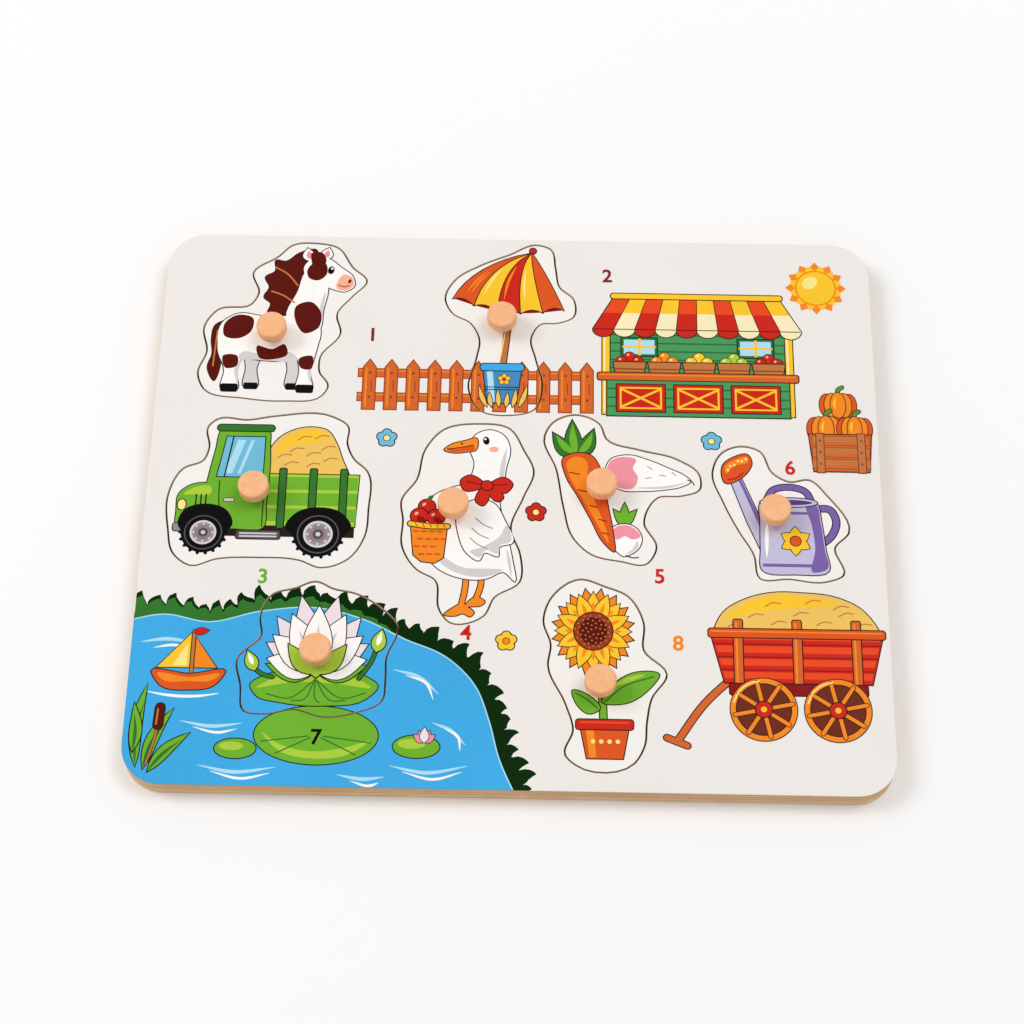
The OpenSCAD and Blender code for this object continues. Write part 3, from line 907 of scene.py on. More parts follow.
def draw_lily(ink):
    """Water lily on its pad, with two buds."""
    foot = (0, -6)
    veins = ((-19, -16), (-9, -18.6), (2, -19.4), (12, -18.4), (20, -15))
    back = ((150, 23), (103, 32.6), (54, 28)), ((126, 28), (77, 32.6), (30, 23))
    front = ((166, 20), (14, 20)), ((140, 23), (40, 23)), ((114, 26), (66, 26)), ((90, 27.6),)

    def petal(degrees, length, width):
        """Petal that stands at a turn round the flower's foot."""
        return leaf(foot, spoke(*foot, math.radians(degrees), length), width)

    ink.lined("green", blob((-25.4, -12.6), (-18, -7.6), (0, -5.6), (18, -7.4), (24.6, -12.2),
                            (20, -17.6), (4, -20.6), (-14, -19.4), (-22.6, -17)))
    ink.fill("lime", blob((-23, -13.4), (-16, -9.4), (0, -7.6), (16, -9), (22, -12.6), (8, -11.4),
                          (-10, -11.2)))
    ink.fill("deep_green", *[stroke(0.5, (0, -9.6), (x * 0.55, -13 + y * 0.3), (x, y)) for x, y in veins])
    ink.lined("deep_green", stroke(1.4, (-17, -9), (-21.4, -7.6), (-24.6, -5)),
              stroke(1.4, (17, -9), (21.4, -2), (23.6, 4)), line=0.35)
    ink.lined("lime", leaf((-24, -6.4), (-27.4, 2), 5), leaf((23.2, 2.4), (25.4, 12), 5.6))
    ink.fill("paper", leaf((-24.8, -4), (-27, 1.2), 1.8), leaf((23.6, 5), (25.1, 11.2), 2))
    ink.lined("green", leaf(foot, (-19.6, -3.6), 8, 2), leaf(foot, (19.6, -3.6), 8, -2))
    for row in back:
        ink.lined("petal", *[petal(degrees, length, 11) for degrees, length in row], line=0.4)
    for row in front:
        ink.lined("paper", *[petal(degrees, length, 11.4) for degrees, length in row], line=0.4)
        ink.fill("pale_grey", *[petal(degrees, length * 0.72, 2.6) for degrees, length in row])
    ink.lined("lime", leaf((0, -7.4), (-11.4, 5), 7, 1), leaf((0, -7.4), (11.4, 5), 7, -1),
              leaf((0, -9), (0, 6), 8))


def draw_sunflower(ink):
    """Sunflower in a pot."""
    x, y = -2.6, 24
    golden = math.radians(137.5)
    seeds = [spoke(x, y, k * golden, 1.02 * math.sqrt(k), 1.06 * math.sqrt(k)) for k in range(1, 52)]
    ink.lined("green", stroke(2.6, (-2, 14), (0.6, 0), (1.6, -16)))
    ink.lined("green", blob((1, -6), (6, 2), (14, 6.6), (23.4, 6), (19, -0.6), (10, -6.4)),
              blob((0, -9), (-5, -3), (-10.6, -1.4), (-9, -7), (-4, -11)))
    ink.fill("deep_green", stroke(0.6, (2, -6), (9, 0.4), (21, 5)),
             stroke(0.6, (-1, -8.6), (-5, -5), (-9.6, -2.4)))
    ink.fill("lime", blob((5, 0.4), (11, 4.6), (18, 5.8), (12, 2.8)))
    ink.lined("orange", *[ray_leaf(x, y, a, 4, 16.2, 6, 1.14) for a in around(16, 11.25)])
    for half in (0, 1):
        ink.lined("yellow", *[ray_leaf(x, y, a, 4, 15, 5.8, 1.13) for a in around(16)[half::2]],
                  line=0.35)
    ink.fill("orange", *[ray_leaf(x, y, a, 6, 11.6, 1.6, 1.12) for a in around(16)])
    ink.lined("dark_bark", disc(x, y, 7.6, 8))
    ink.fill("brown", disc(x, y, 5.6, 6))
    ink.fill("tan", *[disc(*seed, 0.38, sides=8) for seed in seeds])
    ink.lined("deep_orange", poly((-7.6, -16), (11.4, -16), (9, -29.4), (-5, -29.4)))
    ink.fill("orange", poly((-5.6, -16), (-2.4, -16), (-1.4, -29), (-4, -29)))
    ink.lined("red", box(-9.2, -17.4, 13, -13.4, 1))
    ink.fill("deep_orange", box(-7.6, -14.9, 11.4, -14.2))
    ink.fill("pale_yellow", *[disc(-2.6 + 3.2 * k, -22.4, 0.9, sides=12) for k in range(4)])


# Pictures on the board, in millimetres from its middle
def draw_fence(ink):
    """Row of pointed pickets on two rails."""
    rails = (44.5, 56)
    posts = [-64 + 9.1 * k for k in range(11)]
    ink.lined("bark", *[box(-66, y, 31, y + 3.6) for y in rails], key="dark_bark")
    ink.fill("orange", *[box(-66, y + 2.6, 31, y + 3.2) for y in rails])
    ink.lined("bark", *[poly((x, 40.5), (x + 5, 40.5), (x + 5, 60.5), (x + 2.5, 64), (x, 60.5))
                        for x in posts], key="dark_bark")
    ink.fill("orange", *[stroke(0.7, (x + 1.2, 42), (x + 1.2, 60)) for x in posts])
    ink.fill("dark_bark", *[disc(x + 2.7, y + 1.8, 0.6, sides=10) for x in posts for y in rails],
             *[stroke(0.4, (x + 3.6, 49), (x + 3.4, 54)) for x in posts])


def draw_stall(ink):
    """Market stall with a striped awning and five crates of fruit."""
    crates = ((42, "red", "peach"), (56.6, "orange", "pale_yellow"), (71.2, "yellow", "cream"),
              (85.8, "lime", "cream"), (100.4, "red", "peach"))
    ink.lined("leek", box(37, 56, 115, 84))
    ink.fill("deep_leek", *[box(37, y, 115, y + 0.7) for y in (62, 66, 70, 74, 78)])
    ink.lined("deep_leek", box(44, 68, 59, 77), box(93, 68, 108, 77))
    ink.fill("pale_blue", box(45, 69, 58, 76), box(94, 69, 107, 76))
    ink.fill("yellow", *[box(x, 68.4, x + 1.2, 76.6) for x in (51, 100)],
             *[box(x, 72, x + 14.2, 73) for x in (44.4, 93.4)])
    ink.lined("yellow", *[box(x, 40, x + 3, 82) for x in (36, 113)])
    ink.fill("cream", *[box(x + 0.5, 41, x + 1.2, 80) for x in (36, 113)])
    for x, fruit, shine in crates:
        heap = [(x + 2 + 3.4 * k, 65.4 + 2.2 * (k % 2)) for k in range(3)]
        ink.lined(fruit, disc(*heap[1], 2.3, sides=20), line=0.3)
        ink.lined(fruit, disc(*heap[0], 2.3, sides=20), disc(*heap[2], 2.3, sides=20), line=0.3)
        ink.fill(shine, *[disc(fx - 0.6, fy + 1, 0.6, sides=8) for fx, fy in heap])
        ink.lined("tan", poly((x - 1.4, 65), (x + 12.2, 65), (x + 11, 58.4), (x - 0.2, 58.4)))
        ink.fill("dark_bark", box(x - 0.6, 61.4, x + 11.4, 62))
    ink.lined("bark", box(34, 56.4, 118, 59.8, 0.8))
    ink.fill("orange", box(35, 58.6, 117, 59.2))
    ink.lined("leek", box(38, 39.4, 114, 56))
    ink.fill("deep_leek", *[box(38, y, 114, y + 0.7) for y in (43.4, 47.6, 51.8)])
    for x in (42, 66, 90):
        ink.lined("red", box(x, 41.4, x + 20, 54.2))
        ink.fill("yellow", box(x + 1.2, 42.6, x + 18.8, 53))
        ink.fill("red", box(x + 2, 43.4, x + 18, 52.2))
        ink.fill("yellow", stroke(1, (x + 2, 43.6), (x + 18, 52)), stroke(1, (x + 2, 52), (x + 18, 43.6)))
    draw_awning(ink)


def draw_awning(ink, stripes=10, top_y=97, fold_y=89, hem_y=81, scallop=3.6):
    """Striped awning, wider at its scalloped hem than at its top bar."""
    tops = [41 + 70 * k / stripes for k in range(stripes + 1)]
    hems = [32 + 88 * k / stripes for k in range(stripes + 1)]
    folds = [(top + hem) / 2 for top, hem in zip(tops, hems)]
    panels = []
    for k in range(stripes):
        middle = (hems[k] + hems[k + 1]) / 2
        reach = (hems[k + 1] - hems[k]) / 2
        curve = [(middle - reach * math.cos(math.pi * s / 8), hem_y - scallop * math.sin(math.pi * s / 8))
                 for s in range(9)]
        panels.append([(tops[k], top_y), *curve, (tops[k + 1], top_y)])
    ink.edge(*panels)
    ink.fill("red", *panels[0::2])
    ink.fill("cream", *panels[1::2])
    upper = [poly((tops[k], top_y), (tops[k + 1], top_y), (folds[k + 1], fold_y), (folds[k], fold_y))
             for k in range(stripes)]
    ink.fill("ember", *upper[0::2])
    ink.fill("yellow", *upper[1::2])
    ink.fill("key", stroke(0.4, (hems[0] + 0.6, hem_y), (hems[-1] - 0.6, hem_y)),
             *[stroke(0.35, (top, top_y), (hem, hem_y)) for top, hem in zip(tops[1:-1], hems[1:-1])])
    ink.lined("yellow", box(tops[0] - 1.4, top_y - 0.8, tops[-1] + 1.4, top_y + 1.6, 1))


def draw_sun(ink, x=127, y=103):
    """Plain sun with two rows of rays."""
    ink.fill("orange", *[ray_leaf(x, y, a, 6, 13, 5) for a in around(12)])
    ink.fill("yellow", *[ray_leaf(x, y, a, 6, 11.4, 4) for a in around(12, 15)])
    ink.fill("orange", disc(x, y, 8.8, sides=36))
    ink.fill("yellow", disc(x, y, 8.1, sides=36))
    ink.fill("pale_yellow", disc(x - 2.4, y + 2.6, 3.6, 2.8, 40))


def draw_pumpkin(ink, x, y, rx, ry):
    """Ribbed pumpkin with a bent stem."""
    top = y + ry
    ink.lined("stem", stroke(1.5, (x, top - 1), (x + 0.4, top + 1.4), (x + 2, top + 2.6)), line=0.35)
    for shift, colour in ((0.62, "deep_orange"), (0.34, "orange"), (0, "orange")):
        ribs = [disc(x + side * shift * rx, y, rx * 0.42, ry * (1 - 0.18 * shift), sides=28)
                for side in (-1, 1)]
        ink.lined(colour, *ribs[:2 if shift else 1], line=0.35)
    shine = ((x - rx * 0.16, y - ry * 0.3), (x - rx * 0.2, y + ry * 0.2), (x - rx * 0.1, y + ry * 0.6))
    ink.fill("yellow", stroke(1, *shine, tip=0.2))


def draw_harvest(ink):
    """Crate of pumpkins."""
    ends = (124.4, 141.4)
    slats = (16.4, 21.8, 27.2)
    draw_pumpkin(ink, 134, 46, 7.4, 6)
    draw_pumpkin(ink, 128.6, 34.6, 7.6, 6.2)
    draw_pumpkin(ink, 140.4, 34.8, 7, 5.8)
    ink.lined("bark", poly((121.4, 32), (147, 32), (145.6, 15), (123, 15)))
    ink.lined("tan", *[box(122.6, y, 146, y + 4) for y in slats], key="dark_bark", line=0.3)
    ink.fill("bark", *[box(123.4, y + 0.5, 145.2, y + 1.3) for y in slats])
    ink.lined("tan", *[box(x, 14.6, x + 2.8, 32.4) for x in ends], key="dark_bark")
    ink.fill("dark_grey", *[disc(x + 1.4, y + 2, 0.5, sides=8) for x in ends for y in slats])


def draw_cart_wheel(ink, x, y, r):
    """Wheel with eight spokes."""
    ink.fill("key", disc(x, y, r + 0.4, sides=44))
    ink.fill("orange", disc(x, y, r, sides=44))
    ink.fill("key", disc(x, y, r - 2, sides=40))
    ink.fill("shade", disc(x, y, r - 2.4, sides=40))
    ink.lined("orange", *[stroke(1.5, (x, y), spoke(x, y, a, r - 1.4)) for a in around(8, 12)], line=0.3)
    ink.fill("pale_yellow", stroke(0.6, *[spoke(x, y, a, r - 1) for a in (1.7, 2.1, 2.5, 2.9)]))
    ink.lined("red", disc(x, y, 3.2))
    ink.fill("yellow", disc(x, y, 1.2, sides=14))


def draw_cart(ink):
    """Red hay cart with its drawbar down."""
    wisps = ((86, -55), (94, -51), (103, -54), (112, -50), (121, -54), (130, -50), (137, -54.6),
             (101, -46), (117, -44.6), (128, -47))
    posts = (88, 111.4, 134.8)
    ink.lined("bark", stroke(2.6, (88, -76), (76, -88), (65, -104)),
              stroke(2.4, (61, -102.4), (69, -105.6)))
    ink.lined("straw", blob((80, -58), (84, -49), (93, -43), (104, -40), (116, -40), (129, -41.6),
                            (139, -46.6), (146, -57), (112, -62)))
    ink.fill("yellow", blob((85, -51), (94, -44.6), (106, -41.6), (120, -42), (130, -45), (118, -46),
                            (100, -48)))
    ink.fill("tan", *[stroke(0.5, (x, y), (x + 3, y + 1.6), (x + 6, y + 1.2)) for x, y in wisps])
    ink.lined("red", poly((78.6, -57), (147.4, -57), (142, -79), (84, -79)))
    for plank in range(4):
        y = -57 - 5.5 * plank
        left = 78.6 + 1.35 * plank
        right = 147.4 - 1.35 * plank
        ink.fill("ember", poly((left + 0.7, y - 0.8), (right - 0.7, y - 0.8), (right - 1.6, y - 3.6),
                               (left + 1.6, y - 3.6)))
        ink.fill("dark_red", poly((left + 1.3, y - 5.2), (right - 1.3, y - 5.2), (right - 1.4, y - 5.7),
                                  (left + 1.4, y - 5.7)))
    ink.lined("bark", *[box(x, -80, x + 3.4, -52, 0.6) for x in posts])
    ink.fill("orange", *[box(x + 0.7, -79, x + 1.5, -53) for x in posts])
    ink.lined("deep_orange", box(78, -59.6, 148, -56, 1))
    ink.fill("orange", box(79, -57.4, 147, -56.8))
    ink.lined("dark_red", box(86, -84, 140, -79.4, 0.8))
    draw_cart_wheel(ink, 99, -90, 13)
    draw_cart_wheel(ink, 128, -90, 13)


def draw_flowers(ink, radius=4.2):
    """Four scattered flowers of five round petals."""
    for x, y, colour, heart in ((-53, 27, "sky", "pale_yellow"), (81, 28, "sky", "pale_yellow"),
                                (9, -6, "red", "pale_yellow"), (-2, -63, "yellow", "orange")):
        ink.lined(colour, *[disc(*spoke(x, y, a, 0.56 * radius), 0.42 * radius, sides=18)
                            for a in around(5, 90)])
        ink.lined(heart, disc(x, y, 0.3 * radius, sides=16), line=0.3)


# Bank of the brook, from the board's left edge to its front
BANK = ((-156, -58), (-138, -54), (-120, -57), (-100, -52), (-78, -50), (-58, -55), (-42, -63),
        (-26, -70), (-14, -82), (-8, -97), (-4, -112), (4, -130))


def bank_hedge(root, height, leaves, fade=0.0, pitch=6.2):
    """Hedge on the bank with leaf tips of uneven height and lean. A fade lowers it towards its end."""
    line = course(*BANK, steps=10)
    runs = [0.0]
    for here, there in zip(line, line[1:]):
        runs.append(runs[-1] + math.dist(here, there))

    def spot(run, rise):
        """Place that lies a run along the bank and a rise over it."""
        k = next((k for k in range(len(line) - 2) if runs[k + 1] > run), len(line) - 2)
        share = (run - runs[k]) / (runs[k + 1] - runs[k])
        ux, uy = [(line[k + 1][i] - line[k][i]) / (runs[k + 1] - runs[k]) for i in (0, 1)]
        x, y = [line[k][i] + share * (line[k + 1][i] - line[k][i]) for i in (0, 1)]
        return (x - uy * rise, y + ux * rise)

    upper = []
    for k in range(leaves):
        start = k * pitch
        share = 1 - fade * (k / leaves) ** 2
        foot = share * (root + 0.7 * math.sin(k * 1.7))
        tall = share * height * (0.95 + 0.3 * math.sin(k * 2.3) + 0.2 * math.sin(k * 0.9))
        lean = pitch * (0.6 + 0.22 * math.sin(k * 1.3))
        back = 0.95 * pitch - lean
        near = [(lean * step, rise) for step, rise in ((0, 0), (0.1, 0.4), (0.35, 0.72), (0.7, 0.92))]
        far = [(lean + back * step, rise) for step, rise in ((0, 1), (0.15, 0.66), (0.5, 0.34), (1, 0.1))]
        upper += [spot(start + run, foot + tall * rise) for run, rise in near + far]
    lower = [spot(k * pitch, -1.5) for k in range(leaves + 1)]
    return upper + lower[::-1]


def draw_water(ink):
    """Brook with a leafy hedge on its bank, drawn past the board's edges."""
    ink.fill("hedge", bank_hedge(5.0, 4.4, 33))
    ink.fill("deep_green", bank_hedge(4.2, 3.4, 19, fade=1.0))
    ink.fill("blue", course(*BANK, steps=10) + [(4, -140), (-160, -140), (-160, -58)])
    ink.fill("pale_blue", stroke(0.5, *BANK))


def draw_big_pad(ink):
    """Large lily pad in the brook."""
    x, y = -75, -104
    veins = [math.radians(degrees) for degrees in (195, 225, 315, 345)]
    ink.lined("green", disc(x, y, 24, 12, sides=48))
    ink.fill("lime", blob((-96, -103), (-90, -110), (-76, -113.6), (-62, -111.6), (-54, -106),
                          (-64, -109), (-78, -110.6), (-90, -107.4)))
    ink.fill("deep_green", *[stroke(0.5, spoke(x, y, a, 3, 1.5), spoke(x, y, a, 22, 11)) for a in veins])


def draw_afloat(ink):
    """Ripples, a toy boat, reeds and small lily pads."""
    ripples = (((-146, -66), (-136, -64.6), (-124, -66.4)), ((-128, -99), (-116, -101), (-104, -99.6)),
               ((-120, -117), (-106, -119.6), (-90, -117.4)), ((-46, -76), (-36, -79), (-28, -86)),
               ((-46, -116), (-32, -118.6), (-16, -115.6)), ((-30, -98), (-23, -101), (-17, -107)),
               ((-66, -120), (-56, -121.6), (-48, -120.6)))
    reeds = ((-144, -118, -142, -84, 2), (-141, -119, -131, -94, 2), (-139, -120, -124, -104, 1.4),
             (-145.6, -112, -146.4, -92, -1))
    ink.fill("pale_blue", *[stroke(1.5, *points, tip=0.15) for points in ripples])
    ink.fill("paper", *[stroke(1.1, (a[0] + 5, a[1] - 2.4), (b[0] + 3, b[1] - 2.6),
                               (c[0] - 2, c[1] - 2.4), tip=0.15) for a, b, c in ripples])
    ink.lined("yellow", poly((-126.4, -62), (-126.4, -76.6), (-139, -76.6)))
    ink.fill("pale_yellow", poly((-127.4, -66), (-127.4, -75.8), (-133, -75.8)))
    ink.lined("orange", poly((-124.4, -64), (-124.4, -76.6), (-115.6, -76.6)))
    ink.lined("tan", stroke(1.2, (-125.4, -61), (-125.4, -79)), line=0.3)
    ink.lined("red", leaf((-125.4, -61.6), (-119.6, -60.6), 3), line=0.3)
    ink.lined("deep_orange", blob((-141, -78.4), (-126, -79.4), (-112, -78), (-116, -84), (-126, -86),
                                  (-137, -84.4)))
    ink.fill("orange", blob((-138.6, -79.8), (-126, -80.8), (-114, -79.6), (-116, -81.4), (-126, -82.4),
                            (-137, -81.6)))
    ink.fill("paper", stroke(1.2, (-142, -87), (-134, -88.4), (-122, -88.6), (-114, -87.4), tip=0.2))
    for x, y, tip_x, tip_y, bend in reeds:
        ink.lined("green", leaf((x, y), (tip_x, tip_y), 4.6, bend))
        ink.fill("deep_green", leaf((x, y), (x + 0.8 * (tip_x - x), y + 0.8 * (tip_y - y)), 1.4,
                                    0.8 * bend))
    ink.lined("tan", stroke(0.8, (-140, -117), (-137, -104), (-136.4, -94)), line=0.25)
    ink.lined("brown", stroke(3.4, (-136.6, -101), (-136.2, -93.6)))
    ink.fill("tan", stroke(0.7, (-137.3, -100.6), (-137, -94.4)))
    for x, y, rx, ry in ((-36, -108, 9, 4.6), (-106, -110, 8, 4)):
        ink.lined("green", disc(x, y, rx, ry, sides=32))
        ink.fill("lime", disc(x - 0.2 * rx, y + 0.25 * ry, 0.6 * rx, 0.45 * ry))
    bud = (-33, -106)
    ink.lined("pink", *[ray_leaf(*bud, math.radians(degrees), 0, 5, 3) for degrees in (35, 65, 115, 145)],
              line=0.3)
    ink.lined("petal", ray_leaf(*bud, math.radians(90), -0.4, 6, 3.4), line=0.3)


# Plain numerals, each with its place and its ink
NUMERALS = (("1", -61, 76, "maroon"), ("2", 38, 107, "maroon"), ("3", -100, -37, "green"),
            ("4", -18, -60, "red"), ("5", 59, -34, "red"), ("6", 113, 16, "red"),
            ("7", -75, -105, "black"), ("8", 66, -63, "orange"))


# Finishes
FILM_SPECULAR = 0.05
INK_CLOUDING = 0.16
COAT_CLOUDING = 0.05
CLOUD_SCALE = 28.0
FIBRE_SCALE = 520.0
PEEL_SCALE = 950.0
DRIFT_SCALE = 45.0
WAVE_SCALE = 22.0
EDGE_GRAIN = {"Stretch": (60.0, 60.0, 1500.0), "Pores": 0.18}
CROSS_GRAIN = {"Stretch": (900.0, 900.0, 700.0), "Pores": 0.25}
FACE_GRAIN = {"Stretch": (14.0, 420.0, 30.0), "Pores": 0.22}
KNOB_GRAIN = {"Stretch": (380.0, 380.0, 60.0), "Pores": 0.05}
CROSS_SHARE = 0.6
GLUE_SHARE = 0.5
INK_RELIEF = 0.000012
SHEET_RELIEF = 0.000015
BARE_RELIEF = 0.00003
KNOB_RELIEF = 0.00002
KNOB_WAX = 0.12
WAX_ROUGHNESS = 0.35

# Cut walls, painted paler as painted light that lifts the shade in the cut-outs, and the rim of the board,
# which the brook runs over
CORNER_RADIUS = 0.016
OUTER_DEPTH = 0.0015
PAINTED_LIGHT_HOLE = 0.65
PAINTED_LIGHT_PIECE = 0.3
RIM_DEPTH = 0.001
RIM_SLOPE = (0.4115, 0.9114, 0.0)
RIM_BANK = -0.1105
RIM_WATER = -0.1132


def opaque(colour):
    """Colour setting with full alpha, as node sockets take it."""
    return (*colour, 1.0)


def add_node(tree, kind, feeds=None, **settings):
    """Adds a node. Feeds name its inputs, each with a plain value or the socket that drives it."""
    made = tree.nodes.new(kind)
    for name, value in settings.items():
        setattr(made, name, value)
    for name, value in (feeds or {}).items():
        if isinstance(value, bpy.types.NodeSocket):
            tree.links.new(value, made.inputs[name])
        else:
            made.inputs[name].default_value = value
    return made


def maths(tree, operation, first, second=0.0, third=0.0):
    """One sum on values."""
    feeds = {0: first, 1: second, 2: third}
    return add_node(tree, "ShaderNodeMath", feeds, operation=operation).outputs[0]


def vector_maths(tree, operation, first, second=(0, 0, 0)):
    """Outputs of one sum on places."""
    return add_node(tree, "ShaderNodeVectorMath", {0: first, 1: second}, operation=operation).outputs


def mixed(tree, share, first, second, blend="MIX"):
    """Mix of two colours."""
    feeds = {0: share, 6: first, 7: second}
    return add_node(tree, "ShaderNodeMix", feeds, data_type="RGBA", blend_type=blend).outputs[2]


def blended(tree, share, first, second):
    """Mix of two values."""
    return add_node(tree, "ShaderNodeMix", {0: share, 2: first, 3: second}, data_type="FLOAT").outputs[0]


def ranged(tree, value, from_low, from_high, low=0.0, high=1.0):
    """Value carried from one range to another and held inside it."""
    feeds = {"Value": value, "From Min": from_low, "From Max": from_high, "To Min": low, "To Max": high}
    return add_node(tree, "ShaderNodeMapRange", feeds).outputs[0]


def object_place(tree):
    """Place on the object."""
    return add_node(tree, "ShaderNodeTexCoord").outputs["Object"]


def upright(tree, vector):
    """Upright part of a place or a direction."""
    return add_node(tree, "ShaderNodeSeparateXYZ", {0: vector}).outputs[2]


def facing_up(tree):
    """How far the surface faces up, from minus one to one."""
    return upright(tree, add_node(tree, "ShaderNodeNewGeometry").outputs["Normal"])


def noise(tree, place, scale, detail=2.0, roughness=0.5):
    """Value of a noise."""
    feeds = {"Vector": place, "Scale": scale, "Detail": detail, "Roughness": roughness}
    return add_node(tree, "ShaderNodeTexNoise", feeds).outputs[0]


def shared_group(name, inputs, outputs, wire):
    """Node group with named sockets, wired once and shared by the materials."""
    if name in bpy.data.node_groups:
        return bpy.data.node_groups[name]
    tree = bpy.data.node_groups.new(name, "ShaderNodeTree")
    for way, sockets in (("INPUT", inputs), ("OUTPUT", outputs)):
        for label, kind in sockets.items():
            tree.interface.new_socket(label, in_out=way, socket_type="NodeSocket" + kind)
    wire(tree, tree.nodes.new("NodeGroupInput").outputs, tree.nodes.new("NodeGroupOutput").inputs)
    return tree


FINISH_SOCKETS = {"Colour": "Color", "Roughness": "Float", "Height": "Float"}


def film_group():
    """Printed and lacquered film."""
    inputs = {"Colour": "Color", "Clouding": "Float"}
    return shared_group("lacquered_film", inputs, FINISH_SOCKETS, wire_film)


def wire_film(tree, given, put):
    """Faint clouding, uneven gloss and orange peel."""
    place = object_place(tree)
    cloud = noise(tree, place, CLOUD_SCALE, 3.0)
    fibre = noise(tree, place, FIBRE_SCALE, 2.0)
    peel = noise(tree, place, PEEL_SCALE, 1.0)
    spread = maths(tree, "MULTIPLY_ADD", fibre, 0.6, cloud)
    shade = maths(tree, "MULTIPLY_ADD", maths(tree, "SUBTRACT", spread, 0.8), given["Clouding"], 1.0)
    tree.links.new(mixed(tree, 1.0, given["Colour"], shade, "MULTIPLY"), put["Colour"])
    tree.links.new(ranged(tree, cloud, 0.3, 0.7, 0.30, 0.40), put["Roughness"])
    tree.links.new(peel, put["Height"])


def grain_group():
    """Wood grain."""
    inputs = {"Pale": "Color", "Dark": "Color", "Stretch": "Vector", "Pores": "Float"}
    return shared_group("wood_grain", inputs, FINISH_SOCKETS, wire_grain)


def wire_grain(tree, given, put):
    """Streaks that follow the stretch, with darker pores."""
    place = object_place(tree)
    drift = noise(tree, place, DRIFT_SCALE, 2.0)
    run = vector_maths(tree, "MULTIPLY", place, given["Stretch"])[0]
    streak = noise(tree, run, 1.0, 4.0, 0.6)
    fleck = noise(tree, run, 2.7, 1.0)
    share = ranged(tree, maths(tree, "MULTIPLY_ADD", drift, 0.35, streak), 0.45, 0.95)
    pore = maths(tree, "MULTIPLY", ranged(tree, fleck, 0.58, 0.72), given["Pores"])
    worn = maths(tree, "SUBTRACT", 1.0, pore)
    base = mixed(tree, share, given["Pale"], given["Dark"])
    tree.links.new(mixed(tree, 1.0, base, worn, "MULTIPLY"), put["Colour"])
    tree.links.new(ranged(tree, streak, 0.3, 0.7, 0.50, 0.66), put["Roughness"])
    tree.links.new(maths(tree, "SUBTRACT", streak, pore), put["Height"])


def ply_group():
    """Plies down from a sheet's top."""
    outputs = {"Cross ply": "Float", "Glue": "Float"}
    return shared_group("ply_layers", {"Top": "Float", "Thickness": "Float"}, outputs, wire_plies)


def wire_plies(tree, given, put):
    """Every other ply, and the glue lines between them."""
    place = object_place(tree)
    wave = maths(tree, "SUBTRACT", noise(tree, place, WAVE_SCALE, 1.0), 0.5)
    depth = maths(tree, "SUBTRACT", given["Top"], upright(tree, place))
    plies = maths(tree, "MULTIPLY_ADD", wave, 0.25, maths(tree, "DIVIDE", depth, given["Thickness"]))
    saw = maths(tree, "PINGPONG", plies, 1.0)
    seam = maths(tree, "ABSOLUTE", maths(tree, "SUBTRACT", saw, 0.5))
    tree.links.new(ranged(tree, saw, 0.42, 0.58), put["Cross ply"])
    tree.links.new(ranged(tree, seam, 0.0, 0.09, 1.0, 0.0), put["Glue"])


def place_group(tree, group, **feeds):
    """Node group set in a material."""
    return add_node(tree, "ShaderNodeGroup", feeds, node_tree=group).outputs


def place_grain(tree, pale, dark, grain):
    """Wood grain between two woods, set in a material."""
    return place_group(tree, grain_group(), Pale=opaque(pale), Dark=opaque(dark), **grain)


def new_material(name):
    """Material with one empty surface."""
    material = bpy.data.materials.new(name)
    material.use_nodes = True
    tree = material.node_tree
    tree.nodes.clear()
    surface = add_node(tree, "ShaderNodeBsdfPrincipled")
    add_node(tree, "ShaderNodeOutputMaterial", {"Surface": surface.outputs[0]})
    return material, tree, surface


def dress_surface(tree, surface, colour, roughness, height, depth):
    """Feeds a surface its colour, gloss and relief of a real depth."""
    relief = add_node(tree, "ShaderNodeBump", {"Height": height, "Strength": 1.0, "Distance": depth})
    tree.links.new(colour, surface.inputs["Base Color"])
    tree.links.new(roughness, surface.inputs["Roughness"])
    tree.links.new(relief.outputs[0], surface.inputs["Normal"])


def ink_material():
    """Ink that takes its colour from the patch."""
    name = "printed_ink"
    if name in bpy.data.materials:
        return bpy.data.materials[name]
    material, tree, surface = new_material(name)
    ink = add_node(tree, "ShaderNodeAttribute", attribute_name="ink").outputs["Color"]
    film = place_group(tree, film_group(), Colour=ink, Clouding=INK_CLOUDING)
    dress_surface(tree, surface, film["Colour"], film["Roughness"], film["Height"], INK_RELIEF)
    surface.inputs["Specular IOR Level"].default_value = FILM_SPECULAR
    return material


def board_coat(tree, woods, inks):
    """Board's coat, in the brook's inks where the brook runs over the rim."""
    side = vector_maths(tree, "DOT_PRODUCT", object_place(tree), RIM_SLOPE)["Value"]
    bank = maths(tree, "LESS_THAN", side, RIM_BANK)
    water = maths(tree, "LESS_THAN", side, RIM_WATER)
    banked = mixed(tree, bank, opaque(woods.board_coat), opaque(inks.hedge))
    return mixed(tree, water, banked, opaque(inks.blue))


def cut_mask(tree):
    """One on the walls of the cut-outs, none on the board's outer edge."""
    half = Vector(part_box("frame_board")[1])
    inner = (half.x - CORNER_RADIUS, half.y - CORNER_RADIUS, 0.0)
    flat = vector_maths(tree, "MULTIPLY", object_place(tree), (1, 1, 0))[0]
    mirrored = vector_maths(tree, "ABSOLUTE", flat)[0]
    over = vector_maths(tree, "SUBTRACT", mirrored, inner)[0]
    past = vector_maths(tree, "MAXIMUM", over)[0]
    reach = vector_maths(tree, "LENGTH", past)["Value"]
    return maths(tree, "LESS_THAN", reach, CORNER_RADIUS - OUTER_DEPTH)


